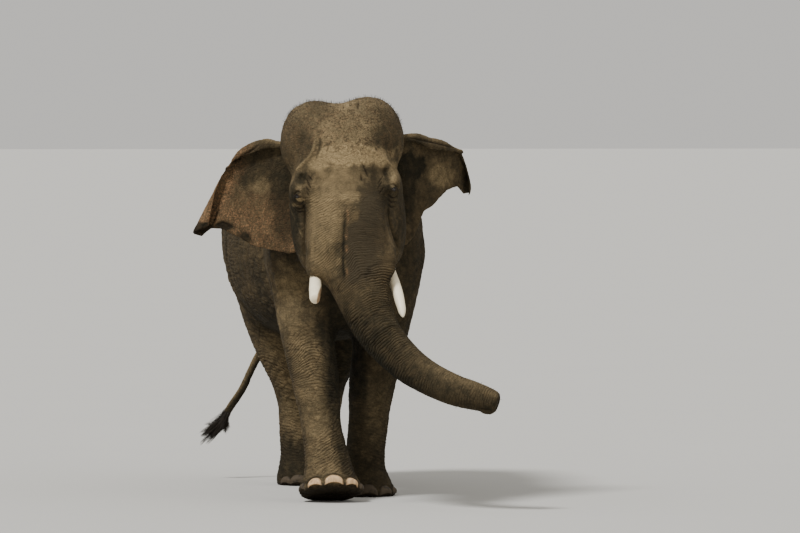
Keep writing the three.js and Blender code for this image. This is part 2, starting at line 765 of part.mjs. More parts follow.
// A flat tapered lock that bows from its root by way of a bend to its tip.
function lock(root, bend, tip, { width, thick }) {
  const bow = new THREE.QuadraticBezierCurve3(root, bend, tip);
  const flat = bend.clone().sub(root).cross(tip.clone().sub(bend)).normalize();
  const rings = [0, 0.35, 0.7, 1].map((t) => {
    const centre = bow.getPoint(t);
    const across = flat.clone().cross(bow.getTangent(t));
    const half = (width / 2) * (0.55 + 1.4 * t * (1 - t)) * (1 - 0.75 * t);
    const deep = (thick / 2) * (1 - 0.6 * t);
    return [[1, 0], [0, 1], [-1, 0], [0, -1]].map(([a, b]) =>
      centre.clone().addScaledVector(across, a * half).addScaledVector(flat, b * deep));
  });
  return loft(rings);
}

function tuftLocks() {
  const path = curveOf(TAIL);
  const random = dice(7);
  const loose = () => vector(...[0, 1, 2].map(() => TUFT.loose * (2 * random() - 1)));
  return Array.from({ length: TUFT.locks }, (_, i) => {
    const short = i % 4 === 2;
    const back = (i / TUFT.locks) * (short ? 0.4 : 1) * TUFT.spread;
    const t = 1 - back / path.getLength();
    const root = path.getPointAt(t);
    const size = 0.8 + 0.35 * random();
    const ahead = (TUFT.ahead + 0.8 * back) * size;
    const bend = root.clone().addScaledVector(path.getTangentAt(t), ahead).add(loose());
    const tip = vector(...TUFT.tips).add(loose());
    const [near, end] = [SHORT_LOCK.bend, SHORT_LOCK.tip].map((p) => root.clone().add(vector(...p)));
    const shape = { width: TUFT.width * size, thick: TUFT.thick };
    return short ? lock(root, near, end, shape) : lock(root, bend, tip, shape);
  });
}

// ---------------------------------------------------------------- put together

const materials = {
  hide: new THREE.MeshStandardMaterial({ color: 0x4a3f35, roughness: 0.9 }),
  ear: new THREE.MeshStandardMaterial({ color: 0x5a4336, roughness: 0.9 }),
  ivory: new THREE.MeshStandardMaterial({ color: 0xe9dfca, roughness: 0.4 }),
  eye: new THREE.MeshStandardMaterial({ color: 0x1d120a, roughness: 0.1 }),
  hair: new THREE.MeshStandardMaterial({ color: 0x17130f, roughness: 0.7 }),
};

const elephant = new THREE.Group();

function add(name, solid, material = materials.hide) {
  const mesh = new THREE.Mesh(geometryOf(largest(solid)), material);
  mesh.name = name;
  elephant.add(mesh);
}

const pointIn = (matrix, point) => new THREE.Vector3(...point).applyMatrix4(matrix).toArray();

// What belongs to an upper leg, seen from ahead: outward of the midplane, under a sloping line.
function legSlab(side, from, to, grow) {
  const inner = GAP / 2 - grow;
  const rise = 1.5 * grow;
  const outline = [
    [inner, 500], [inner, 1150 + rise], [560, 1750 + rise], [1200, 1750 + rise], [1200, 500],
  ];
  return slab(side > 0 ? outline : outline.map(([x, z]) => [-x, z]).reverse(), from, to);
}

// The barrel, the neck and what stands on the legs
const NECK_BASE = { centre: vector(0, -125, 2175), way: vector(0, -0.9, 0.434) };
const NECK_HEAD = {
  centre: vector(0, -300, 2100).applyMatrix4(turned),
  way: vector(0, -0.946, 0.324).transformDirection(turned),
};
const along = (y) => ({ centre: vector(0, y, 1850), way: vector(0, 1, 0) });
add("barrel", lengthOf(wholeField, stationsBetween(along(FRONT_CUT), along(REAR_CUT), 6), UP, 28));
add("neck", lengthOf(wholeField, stationsBetween(NECK_BASE, NECK_HEAD, 3), UP, 24));

const front = skinOf(wholeField, [-800, -900, 780], [800, FRONT_CUT + 210, 2850], CELL.body)
  .trimByPlane([0, -1, 0], -FRONT_CUT + GAP / 2);
const rear = skinOf(wholeField, [-800, REAR_CUT - 210, 540], [800, 2500, 2850], CELL.body)
  .trimByPlane([0, 1, 0], REAR_CUT + GAP / 2);
const foreparts = parted(front, NECK_BASE.way.toArray(), NECK_BASE.centre.toArray()).back;
const slabs = (pair, grow) => {
  const [from, to] = pair === "fore" ? [-900, FRONT_CUT] : [REAR_CUT, 2600];
  return mirrored((side) => legSlab(side, from, to, grow));
};
const without = (solid, tools) => tools.reduce((left, tool) => left.subtract(tool), solid);
add("chest", without(foreparts, slabs("fore", GAP)));
add("rump", without(rear, [...slabs("hind", GAP), tube(TAIL, 22, 8, GAP)]));

// The legs
function lowerLeg(name, pair, stand) {
  const [x, y] = [1, 2].map((i) => column(LEG_ROWS[name], i));
  const down = vector(0, 0, -1);
  const base = {
    centre: vector(0, 0, FOOT_TOP).applyMatrix4(stand),
    way: down.clone().transformDirection(stand),
  };
  const top = LEG_CUT[pair];
  const start = { centre: vector(x(top), y(top), top), way: down };
  const stations = stationsBetween(start, base, 6);
  for (const { centre } of stations.slice(1, -1)) centre.setX(x(centre.z)).setY(y(centre.z));
  return lengthOf(legFields[name], stations, AHEAD, 16);
}

function footEnd(name, stand) {
  const way = vector(0, 0, -1).transformDirection(stand);
  const heights = [FOOT_TOP - GAP / 2, 160, 105, 55, 18, 0];
  const stations = heights.map((h) => ({ centre: vector(0, 0, h).applyMatrix4(stand), way }));
  const bare = lengthOf(legFields[name], stations, AHEAD, 20);
  const sole = way.clone().negate();
  return nails(FEET[name])
    .reduce((solid, piece) => solid.add(piece), bare)
    .trimByPlane(sole.toArray(), sole.dot(stations.at(-1).centre))
    .trimByPlane([0, 0, 1], 0);
}

for (const [name, foot] of Object.entries(FEET)) {
  const [side, pair] = name.split("_");
  const stand = footMatrix(foot);
  const blank = pair === "fore" ? foreparts : rear;
  const upper = blank.intersect(slabs(pair, 0)[side === "left" ? 1 : 0]);
  add(`${pair}leg_${side}_upper`, upper.trimByPlane([0, 0, 1], LEG_CUT[pair] + GAP / 2));
  add(`${pair}leg_${side}_lower`, lowerLeg(name, pair, stand));
  add(`${pair}foot_${side}`, footEnd(name, stand));
}

// The head and what is set in it
const headBox = [[-700, -1850, 620], [1130, 0, 2920]];
const headBlank = skinOf(bodyField, ...headBox, CELL.head);
const headGrown = skinOf(bodyField, ...headBox, CELL.head, GAP);
const trunkPath = curveOf(TRUNK);
const trunkStation = (knot) => ({
  centre: trunkPath.getPoint(knot / (TRUNK.length - 1)).applyMatrix4(turned),
  way: trunkPath.getTangent(knot / (TRUNK.length - 1)).transformDirection(turned),
});
const trunkStart = trunkStation(TRUNK_CUTS[0]);
const skullSide = parted(headBlank, NECK_HEAD.way.toArray(), NECK_HEAD.centre.toArray()).front;

let head = parted(skullSide, trunkStart.way.toArray(), trunkStart.centre.toArray()).back;
for (const [name, side] of Object.entries(SIDES)) {
  const seat = eyeSeat(side);
  head = head.add(lid(seat, 42, 9)).add(lid(seat, -42, 8));
  head = head.subtract(solidOf(eyeball(seat, EYEBALL + GAP)));
  add(`eye_${name}`, solidOf(eyeball(seat, EYEBALL)), materials.eye);
  const knots = TUSKS[name].map(([x, y, z, r]) => [...pointIn(turned, [x, y, z]), r]);
  add(`tusk_${name}`, tube(knots, 8, 10), materials.ivory);
  head = head.subtract(tube(knots, 8, 10, GAP));
  const ear = sheet(earSurface(EARS[name]), EAR_GRID.columns, EAR_GRID.rows);
  add(`ear_${name}`, ear.subtract(headGrown), materials.ear);
}
add("head", head);
const jawMesh = skinOf(placed(jaw, headFrame), [-400, -1200, 1300], [400, -300, 2100], CELL.head);
add("lower_jaw", jawMesh.subtract(headGrown));

// The trunk
TRUNK_CUTS.slice(0, -1).forEach((knot, i) => {
  const next = TRUNK_CUTS[i + 1];
  const stations = [0, 1, 2, 3, 4].map((n) => trunkStation(lerp(knot, next, n / 4)));
  stations[0].centre.addScaledVector(stations[0].way, GAP / 2);
  stations[4].centre.addScaledVector(stations[4].way, -GAP / 2);
  add(`trunk_${i + 1}`, lengthOf(bodyField, stations, AHEAD, 16));
});
const tipStations = [0, 0.33, 0.67, 1].map((n) => trunkStation(lerp(TRUNK_CUTS.at(-1), TRUNK.length - 1, n)));
tipStations[0].centre.addScaledVector(tipStations[0].way, GAP / 2);
const tip = tipStations.at(-1);
for (const past of [38, 62]) {
  tipStations.push({ centre: tip.centre.clone().addScaledVector(tip.way, past), way: tip.way });
}
const acrossTip = tip.way.clone().cross(AHEAD).normalize();
const nostrils = mirrored((side) => {
  const mouth = tip.centre.clone().addScaledVector(tip.way, 70).addScaledVector(acrossTip, side * 27);
  const deep = mouth.clone().addScaledVector(tip.way, -110);
  return tube([[...mouth, 21], [...mouth.clone().lerp(deep, 0.5), 17], [...deep, 11]], 3, 8);
});
add("trunk_5", without(lengthOf(bodyField, tipStations, AHEAD, 16), nostrils));

// The tail
const tailPath = curveOf(TAIL);
const cutTail = (solid, knot) => {
  const t = knot / (TAIL.length - 1);
  return parted(solid, tailPath.getTangent(t).toArray(), tailPath.getPoint(t).toArray());
};
let tailRest = tube(TAIL, 22, 8);
TAIL_CUTS.forEach((knot, i) => {
  const halves = cutTail(tailRest, knot);
  add(`tail_${i + 1}`, halves.back);
  tailRest = halves.front;
});
const tuft = tuftLocks().reduce((solid, piece) => solid.add(piece), tailRest);
add("tail_tuft", cutTail(tuft, TAIL_CUTS[2]).front, materials.hair);

elephant.updateMatrixWorld(true);
const bounds = new THREE.Box3().setFromObject(elephant);
const middle = bounds.getCenter(new THREE.Vector3());
elephant.position.set(-middle.x, -middle.y, -bounds.min.z);

export default elephant;
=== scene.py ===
"""Asian elephant bull at life size: one wrinkled skin over the flesh, eyes, tusks, nails and hair."""

import json
import math

import bmesh
import bpy
import numpy as np
from mathutils import Matrix, Vector
from mathutils.bvhtree import BVHTree


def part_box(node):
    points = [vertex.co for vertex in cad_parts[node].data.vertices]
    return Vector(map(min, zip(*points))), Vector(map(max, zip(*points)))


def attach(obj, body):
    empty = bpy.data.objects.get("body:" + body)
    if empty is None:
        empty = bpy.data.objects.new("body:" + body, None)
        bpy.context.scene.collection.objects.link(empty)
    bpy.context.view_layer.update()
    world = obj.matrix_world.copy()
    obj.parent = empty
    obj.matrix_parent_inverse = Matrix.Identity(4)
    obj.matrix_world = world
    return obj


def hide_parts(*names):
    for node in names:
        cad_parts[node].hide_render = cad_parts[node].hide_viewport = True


bl_info = {
    "name": "Asian Elephant",
    "version": (1, 0, 0),
    "blender": (4, 5, 0),
    "location": "3D View > Sidebar > Elephant",
    "description": "Builds the skin, eyes, tusks, nails and hair of a walking elephant",
    "category": "Object",
}

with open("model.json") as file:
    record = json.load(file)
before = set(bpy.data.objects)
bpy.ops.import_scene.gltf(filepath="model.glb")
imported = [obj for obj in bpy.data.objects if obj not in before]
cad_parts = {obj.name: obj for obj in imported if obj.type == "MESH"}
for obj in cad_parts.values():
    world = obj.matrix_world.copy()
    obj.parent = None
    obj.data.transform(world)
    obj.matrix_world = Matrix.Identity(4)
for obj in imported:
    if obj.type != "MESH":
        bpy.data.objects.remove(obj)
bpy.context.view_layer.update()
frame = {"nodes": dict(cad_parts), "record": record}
NODES = frame["nodes"]
SIDES = {"right": -1, "left": 1}

# How far the facets of each kind of solid are smoothed, in metres. The first match counts.
SMOOTHING = [
    ("barrel", 0.075),
    ("chest", 0.055),
    ("rump", 0.055),
    ("neck", 0.050),
    ("foot", 0.018),
    ("upper", 0.048),
    ("lower_jaw", 0.024),
    ("lower", 0.032),
    ("head", 0.026),
    ("trunk_5", 0.016),
    ("trunk", 0.034),
    ("tail_1", 0.018),
    ("tail", 0.010),
]
FLESH = [name for name in NODES if not name.startswith(("eye", "tusk", "ear", "tail_tuft"))]
EARS = ["ear_right", "ear_left"]

# The planted forefoot from the middle of the forelegs, which places on the animal are measured from.
LEFT_FOREFOOT = (0.155, 0.190, 0.0)


# ---------------------------------------------------------------- places taken from the frame


def corners(node):
    """The lowest and the highest corner of a node's box."""
    low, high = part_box(node)
    return np.array(low), np.array(high)


def middle(node):
    return sum(corners(node)) / 2


def forelegs_origin():
    """The point on the floor between the forelegs."""
    mounts = {mount["name"]: mount["pos_m"] for mount in frame["record"]["mounts"]}
    return np.array(mounts["sole_forefoot_left"]) - LEFT_FOREFOOT


ORIGIN = forelegs_origin()


# ---------------------------------------------------------------- sums on arrays


def ease(value, start, end):
    """0 before the start, 1 after the end, and smooth between them."""
    t = np.clip((value - start) / (end - start), 0, 1)
    return t * t * (3 - 2 * t)


def hump(value, middle, half_width):
    """1 at the middle, and nearly 0 two half widths away from it."""
    return np.exp(-(((value - middle) / half_width) ** 2))


def unit(vectors):
    """The same ways with a length of 1."""
    return vectors / np.linalg.norm(vectors, axis=-1, keepdims=True)


def inside(places, low, high):
    """The numbers of the places that are inside a box."""
    return np.flatnonzero(((places > low) & (places < high)).all(axis=1))


def way_gone(chain):
    """The length of a chain up to each of its points."""
    return np.concatenate([[0], np.cumsum(np.linalg.norm(np.diff(chain, axis=0), axis=1))])


def at_ways(where, gone, values):
    """The values of a chain's points at some lengths along it."""
    return np.stack([np.interp(where, gone, column) for column in values.T], axis=1)


# ---------------------------------------------------------------- meshes as arrays


def read(items, name, size, kind=np.float32):
    """One row of values for each of a mesh's items."""
    found = np.zeros(len(items) * size, kind)
    items.foreach_get(name, found)
    return found.reshape(-1, size)


def vertices_of(mesh):
    """The places of a mesh's points."""
    return read(mesh.vertices, "co", 3).astype(float)


def normals_of(mesh):
    return read(mesh.vertex_normals, "vector", 3).astype(float)


class Shape:
    """A mesh as arrays: places of its points and the ends of its edges."""

    def __init__(self, mesh):
        self.places = vertices_of(mesh)
        self.edges = read(mesh.edges, "vertices", 2, np.int32)
        self.table, self.count = self.beside()

    def beside(self, most=8):
        """For each point, the points that an edge joins to it, with the point itself as filler."""
        total = len(self.places)
        ends = np.concatenate([self.edges, self.edges[:, ::-1]])
        ends = ends[np.argsort(ends[:, 0], kind="stable")]
        count = np.bincount(ends[:, 0], minlength=total)
        first = np.concatenate([[0], np.cumsum(count)[:-1]])
        rank = np.arange(len(ends)) - first[ends[:, 0]]
        kept = rank < most
        table = np.repeat(np.arange(total)[:, None], most, axis=1)
        table[ends[kept, 0], rank[kept]] = ends[kept, 1]
        return table, np.minimum(count, most)

    def mean_beside(self, values):
        total = sum(values[self.table[:, i]] for i in range(self.table.shape[1]))
        filler = (self.table.shape[1] - self.count)[:, None] * values
        return (total - filler) / np.maximum(self.count, 1)[:, None]

    def spread(self, values, steps, rate=1.0):
        """Blurs values over the surface. The rate, from 0 to 1, may differ from point to point."""
        for _ in range(steps):
            values = values + rate * (self.mean_beside(values) - values)
        return values

    def smooth(self, reach, cell):
        """Smooths the form over some reach at each point, and gives back the volume that this takes."""
        step = cell * cell / 2
        steps = max(int(round(reach.max() ** 2 / step)), 1)
        rate = (reach**2 / reach.max() ** 2)[:, None]
        once = self.spread(self.places, steps, rate)
        self.places = once + self.spread(self.places - once, steps, rate)

    def write(self, mesh):
        mesh.vertices.foreach_set("co", self.places.astype(np.float32).ravel())
        mesh.update()


def placed(name, data):
    """A new object in the scene."""
    obj = bpy.data.objects.new(name, data)
    bpy.context.scene.collection.objects.link(obj)
    return obj


def joined(name, meshes):
    """One mesh object of several meshes that are in place."""
    made = bmesh.new()
    for mesh in meshes:
        made.from_mesh(mesh)
    mesh = bpy.data.meshes.new(name)
    made.to_mesh(mesh)
    made.free()
    return placed(name, mesh)


def settled(obj):
    """Applies what the modifiers of an object do to its mesh."""
    graph = bpy.context.evaluated_depsgraph_get()
    mesh = bpy.data.meshes.new_from_object(obj.evaluated_get(graph))
    obj.modifiers.clear()
    old = obj.data
    obj.data = mesh
    bpy.data.meshes.remove(old)
    return obj


def remeshed(obj, cell):
    remesh = obj.modifiers.new("remesh", "REMESH")
    remesh.mode = "VOXEL"
    remesh.voxel_size = cell
    return settled(obj)


def keep_largest(obj):
    """Drops every loose scrap of a mesh."""
    made = bmesh.new()
    made.from_mesh(obj.data)
    left = set(made.verts)
    islands = []
    while left:
        stack = [left.pop()]
        island = set(stack)
        while stack:
            for edge in stack.pop().link_edges:
                for vert in edge.verts:
                    if vert in left:
                        left.discard(vert)
                        island.add(vert)
                        stack.append(vert)
        islands.append(island)
    islands.sort(key=len)
    bmesh.ops.delete(made, geom=[v for island in islands[:-1] for v in island], context="VERTS")
    made.to_mesh(obj.data)
    made.free()


def refine(obj, wanted):
    """Splits the faces whose points are all in a wanted zone."""
    made = bmesh.new()
    made.from_mesh(obj.data)
    made.verts.ensure_lookup_table()
    faces = [face for face in made.faces if all(wanted[v.index] for v in face.verts)]
    edges = list({edge for face in faces for edge in face.edges})
    bmesh.ops.subdivide_edges(made, edges=edges, cuts=1, use_grid_fill=True)
    made.to_mesh(obj.data)
    made.free()


# ---------------------------------------------------------------- noise


def hashed(cells, seed):
    """A repeatable random number from 0 to 1 for each cell."""
    mixed = cells[..., 0] * 374761393 + cells[..., 1] * 668265263 + cells[..., 2] * 1440662683
    mixed = (mixed + seed * 1274126177) & 0xFFFFFFFF
    mixed = ((mixed ^ (mixed >> 13)) * 1274126177) & 0xFFFFFFFF
    mixed = ((mixed ^ (mixed >> 15)) * 2246822519) & 0xFFFFFFFF
    return ((mixed ^ (mixed >> 16)) & 0xFFFFFF) / float(0x1000000)


def clouds(points, seed):
    """Smooth noise from -1 to 1, with features about one unit across."""
    base = np.floor(points).astype(np.int64)
    part = points - base
    part = part * part * (3 - 2 * part)
    total = np.zeros(len(points))
    for i in range(8):
        step = np.array([i & 1, i >> 1 & 1, i >> 2])
        share = np.prod(np.where(step, part, 1 - part), axis=1)
        total += share * hashed(base + step, seed)
    return 2 * total - 1


def cracks(points, seed, jitter=0.9):
    """How far each point is from the borders between scattered cells, in cells."""
    base = np.floor(points).astype(np.int64)
    near = np.full(len(points), 9.0)
    next_near = np.full(len(points), 9.0)
    for i in range(27):
        cell = base + np.array([i % 3 - 1, i // 3 % 3 - 1, i // 9 - 1])
        seat = np.stack([hashed(cell, seed + n) for n in range(3)], axis=1) * jitter
        away = np.linalg.norm(cell + seat - points, axis=1)
        closer = away < near
        next_near = np.where(closer, near, np.minimum(next_near, away))
        near = np.where(closer, away, near)
    return next_near - near


# ---------------------------------------------------------------- materials


class Value:
    """A socket of a node tree, with the maths that materials use."""

    def __init__(self, tree, socket):
        self.tree = tree
        self.socket = socket

    def math(self, operation, *others):
        sockets = dict(enumerate([self, *others]))
        return self.tree.node("ShaderNodeMath", {"operation": operation}, sockets).out()

    def __add__(self, other):
        return self.math("ADD", other)

    def __sub__(self, other):
        return self.math("SUBTRACT", other)

    def __rsub__(self, other):
        return (self * -1) + other

    def __mul__(self, other):
        return self.math("MULTIPLY", other)

    __radd__ = __add__
    __rmul__ = __mul__

    def clamped(self):
        return self.tree.node("ShaderNodeClamp", {}, {"Value": self}).out("Result")

    def folded(self):
        """0 where the value is a whole number and 1 halfway between two."""
        return (self * math.pi).math("SINE").math("ABSOLUTE")

    def step(self, start, end):
        """0 before the start and 1 after the end."""
        made = self.tree.node(
            "ShaderNodeMapRange",
            {"interpolation_type": "SMOOTHSTEP"},
            {"Value": self, "From Min": start, "From Max": end},
        )
        return made.out("Result")


class Node:
    """A node of a tree, once its settings and sockets are set."""

    def __init__(self, tree, node):
        self.tree = tree
        self.node = node

    def out(self, name=0):
        return Value(self.tree, self.node.outputs[name])


class Tree:
    """A material's node tree."""

    def __init__(self, name):
        self.material = bpy.data.materials.new(name)
        self.material.use_nodes = True
        self.nodes = self.material.node_tree.nodes
        self.links = self.material.node_tree.links
        self.nodes.clear()

    def node(self, kind, settings, sockets):
        made = self.nodes.new(kind)
        for name, value in settings.items():
            setattr(made, name, value)
        for name, value in sockets.items():
            if isinstance(value, Value):
                self.links.new(value.socket, made.inputs[name])
            else:
                made.inputs[name].default_value = value
        return Node(self, made)

    def attribute(self, name):
        return self.node("ShaderNodeAttribute", {"attribute_name": name}, {}).out("Fac")

    def vector(self, name):
        return self.node("ShaderNodeAttribute", {"attribute_name": name}, {}).out("Vector")

    def place(self):
        return self.node("ShaderNodeTexCoord", {}, {}).out("Object")

    def vector_math(self, operation, first, second):
        made = self.node("ShaderNodeVectorMath", {"operation": operation}, {0: first, 1: second})
        return made.out("Vector")

    def noise(self, vector, scale, detail=3.0, rough=0.55):
        sockets = {"Vector": vector, "Scale": scale, "Detail": detail, "Roughness": rough}
        return self.node("ShaderNodeTexNoise", {}, sockets).out("Fac")

    def swirl(self, vector, scale, amount):
        """The vector, pushed about by noise."""
        made = self.node("ShaderNodeTexNoise", {}, {"Vector": vector, "Scale": scale, "Detail": 1.0})
        away = self.vector_math("SUBTRACT", made.out("Color"), (0.5, 0.5, 0.5))
        return self.vector_math("ADD", vector, self.vector_math("MULTIPLY", away, (amount, amount, amount)))

    def creases(self, vector, scale):
        """0 on the borders between cells and about 1 in their middles."""
        sockets = {"Vector": vector, "Scale": scale}
        made = self.node("ShaderNodeTexVoronoi", {"feature": "DISTANCE_TO_EDGE"}, sockets)
        return made.out("Distance") * 2

    def mixed(self, share, first, second):
        """A mix of two colours. A Mix node's colours are its sockets 6 and 7, and the result is output 2."""
        return self.node("ShaderNodeMix", {"data_type": "RGBA"}, {0: share, 6: first, 7: second}).out(2)

    def bump(self, height, distance, strength):
        sockets = {"Height": height, "Distance": distance, "Strength": strength}
        return self.node("ShaderNodeBump", {}, sockets).out("Normal")

    def shader(self, **sockets):
        named = {name.replace("_", " "): value for name, value in sockets.items()}
        made = self.node("ShaderNodeBsdfPrincipled", {}, named)
        self.node("ShaderNodeOutputMaterial", {}, {"Surface": made.out("BSDF")})
        return self.material


def colour(rgb):
    return (*rgb, 1.0)


# The scale, detail and roughness of the noises that colour the hide, from the broadest to the finest
HIDE_NOISE = {
    "patches": (3.4, 5.0, 0.55),
    "mottle": (20.0, 4.0, 0.62),
    "spots": (56.0, 4.0, 0.70),
    "speck": (75.0, 3.0, 0.65),
    "freckles": (84.0, 3.0, 0.70),
    "grain": (190.0, 2.0, 0.55),
}


def hide_material(look):
    """Wrinkled hide: painted shade in its grooves and shaded parts, painted light and dusted hide on its
    tops and ridges, bare and freckled where it is pink.
    """
    tree = Tree("elephant_hide")
    place = tree.place()
    lie = tree.vector("lie")
    shares = ("groove", "pink", "wet", "dust_and_light", "shade", "rings", "rough")
    groove, pink, wet, dust_and_light, shade, rings, rough_head = (tree.attribute(name) for name in shares)
    noises = (tree.noise(place, *settings) for settings in HIDE_NOISE.values())
    patches, mottle, spots, speck, freckles, grain = noises
    fine = tree.creases(tree.swirl(lie, 34.0, 0.030), 58.0)
    broad = tree.creases(tree.swirl(lie, 15.0, 0.050), 27.0)
    wave = (tree.attribute("phase") + (speck - 0.5) * 0.55).folded()
    tone = (patches * 0.40 + mottle * 0.38 + speck * 0.22).step(0.40, 0.60)
    base = tree.mixed(tone, colour(look.dark), colour(look.middle))
    # Dusted hide and painted light on the tops, ridges and lit patches.
    dust_and_light_share = (dust_and_light * 1.3 * (mottle * 0.9 + speck * 0.8 - 0.30)).clamped()
    base = tree.mixed(dust_and_light_share, base, colour(look.dust_and_light))
    base = tree.mixed((wet * 0.9).clamped(), base, colour(look.wet))
    freckles = (freckles * 0.82 + mottle * 0.18).step(0.44, 0.55)
    bare = (pink * (1 - freckles * 0.78)).clamped()
    skin = tree.mixed(speck.step(0.4, 0.6), colour(look.pink), colour(look.pink_shade))
    base = tree.mixed(bare, base, skin)
    # Painted shade on the shaded parts and in the hollows, and darker hide in a few patches.
    base = tree.mixed((shade * (1.15 - mottle * 0.5)).clamped(), base, colour(look.deep))
    spots = (spots * 0.46 + speck * 0.26 + mottle * 0.28).step(0.45, 0.60) * rough_head
    base = tree.mixed(rough_head * mottle.step(0.45, 0.60) * 0.40, base, colour(look.pink_shade))
    base = tree.mixed(spots * 0.85, base, colour(look.dark))
    lines = (1 - fine.step(0.0, 0.16)) * 0.60 * speck.step(0.35, 0.6)
    lines = lines + (1 - broad.step(0.0, 0.12)) * 0.45 * mottle.step(0.38, 0.58)
    folds = (1 - wave.step(0.04, 0.48)) * rings * (0.45 + mottle.step(0.40, 0.58) * 0.55)
    # Painted shade in the grooves, creases, ring folds and lids' edges, and painted shade and dirt at the
    # soles' rims.
    base = tree.mixed((groove * 0.75 + lines * 0.50 + folds * 0.80).clamped(), base, colour(look.groove))
    height = fine.step(0.0, 0.30) * 0.40 + broad.step(0.0, 0.24) * 0.55 + grain * 0.22 + speck * 0.35
    height = height + wave * rings * 1.1 + spots * 0.4
    rough = 0.88 + mottle * 0.12 - wet * 0.08
    return tree.shader(
        Base_Color=base, Roughness=rough, Normal=tree.bump(height, 0.0045, 0.9), Specular_IOR_Level=0.10
    )


def ivory_material(look):
    tree = Tree("elephant_ivory")
    place = tree.place()
    streaks = tree.noise(tree.vector_math("MULTIPLY", place, (60.0, 60.0, 9.0)), 1.0, 3.0)
    stain = tree.noise(place, 9.0, 3.0)
    worn = tree.attribute("worn")
    base = tree.mixed(streaks.step(0.35, 0.7) * 0.5, colour(look.ivory), colour(look.ivory_shade))
    base = tree.mixed((worn * (stain + 0.45)).clamped(), base, colour(look.ivory_stain))
    return tree.shader(
        Base_Color=base, Roughness=0.38 + stain * 0.2, Normal=tree.bump(streaks, 0.0012, 0.5)
    )


def nail_material(look):
    tree = Tree("elephant_nail")
    place = tree.place()
    streaks = tree.noise(tree.vector_math("MULTIPLY", place, (70.0, 70.0, 14.0)), 1.0, 4.0)
    dirt = tree.noise(place, 26.0, 4.0)
    rim = tree.attribute("rim")
    base = tree.mixed(streaks.step(0.3, 0.7), colour(look.nail), colour(look.nail_shade))
    # Dirt at the rims, and painted shade over the nails of the shaded feet.
    base = tree.mixed((rim + dirt.step(0.55, 0.75) * 0.5).clamped(), base, colour(look.nail_dirt_and_shade))
    bumps = tree.bump(streaks + dirt, 0.002, 0.7)
    return tree.shader(Base_Color=base, Roughness=0.60 + dirt * 0.3, Normal=bumps, Specular_IOR_Level=0.25)


def hair_material(look):
    tree = Tree("elephant_hair")
    tone = tree.noise(tree.place(), 14.0, 2.0)
    base = tree.mixed(tone, colour(look.hair), colour(look.hair_tip))
    return tree.shader(Base_Color=base, Roughness=0.62 + tone * 0.1, Specular_IOR_Level=0.2)


def eye_material(look):
    tree = Tree("elephant_eye")
    away = tree.attribute("from_pupil")
    ring = away.step(0.30, 0.34)
    white = away.step(0.74, 0.86)
    flecks = tree.noise(tree.place(), 300.0, 2.0)
    iris = tree.mixed(flecks, colour(look.iris), colour(look.iris_light))
    base = tree.mixed(ring, colour((0.003, 0.003, 0.003)), iris)
    base = tree.mixed(white, base, colour(look.eye_white))
    return tree.shader(Base_Color=base, Roughness=0.20 + away * 0.05, Coat_Weight=0.5, Coat_Roughness=0.06)


# ---------------------------------------------------------------- the trunk's line


# The head's own ways, as it is turned to its right. As rows, they turn what is given to its left,
# behind it and up into places on the animal.
HEAD_TURN = math.radians(-8.0)
TO_LEFT = np.array([math.cos(HEAD_TURN), math.sin(HEAD_TURN), 0.0])
TO_BACK = np.array([-math.sin(HEAD_TURN), math.cos(HEAD_TURN), 0.0])
UP = np.array([0.0, 0.0, 1.0])
HEAD = np.array([TO_LEFT, TO_BACK, UP])

# Where the trunk's line runs inside the face: to the left of the forelegs' middle, behind it, and up.
TRUNK_ROOT = [(0.0, -0.68, 2.46), (0.0, -0.84, 2.22), (0.012, -0.96, 1.97), (0.04, -1.06, 1.72)]


def flowing(points, samples=6):
    """A smooth chain of points through a few given ones."""
    points = np.array(points, float)
    chain = []
    for i in range(len(points) - 1):
        before = points[max(i - 1, 0)]
        after = points[min(i + 2, len(points) - 1)]
        a, b = points[i], points[i + 1]
        for t in np.linspace(0, 1, samples, endpoint=False):
            chain.append(
                a * (2 * t**3 - 3 * t**2 + 1)
                + b * (3 * t**2 - 2 * t**3)
                + (b - before) / 2 * (t**3 - 2 * t**2 + t)
                + (after - a) / 2 * (t**3 - t**2)
            )
    return np.array([*chain, points[-1]])


def trunk_line():
    """Points down the middle of the trunk, from inside the forehead to the tip."""
    root = np.array(TRUNK_ROOT) @ HEAD
    inner = [vertices_of(NODES[f"trunk_{i}"].data).mean(axis=0) - ORIGIN for i in range(1, 6)]
    end = inner[-1] + 1.1 * (inner[-1] - inner[-2])
    return flowing([*root, *inner, end], 12)


def along_line(points, line):
    """For each point: the way gone along the line, and the vector from the line to the point."""
    ways = np.diff(line, axis=0)
    lengths = np.linalg.norm(ways, axis=1)
    gone = way_gone(line)
    nearest = np.full(len(points), 1e9)
    place = np.zeros(len(points))
    away = np.zeros((len(points), 3))
    for i, way in enumerate(ways):
        offset = points - line[i]
        t = np.clip(offset @ way / lengths[i] ** 2, 0, 1)
        out = offset - t[:, None] * way
        distance = np.linalg.norm(out, axis=1)
        closer = distance < nearest
        nearest[closer] = distance[closer]
        place[closer] = gone[i] + t[closer] * lengths[i]
        away[closer] = out[closer]
    return place, away


# ---------------------------------------------------------------- tubes, plates and strands


def ways_along(chain):
    """The way along a chain at each of its points, and two ways across it that don't twist."""
    ways = unit(np.gradient(chain, axis=0))
    side = np.cross(ways[0], [0.3, 0.9, 0.1])
    sides = []
    for way in ways:
        side = unit(side - way * (side @ way))
        sides.append(side)
    sides = np.array(sides)
    return ways, sides, np.cross(ways, sides)


def mesh_of(name, points, faces):
    mesh = bpy.data.meshes.new(name)
    mesh.from_pydata([tuple(p) for p in points], [], faces)
    return mesh


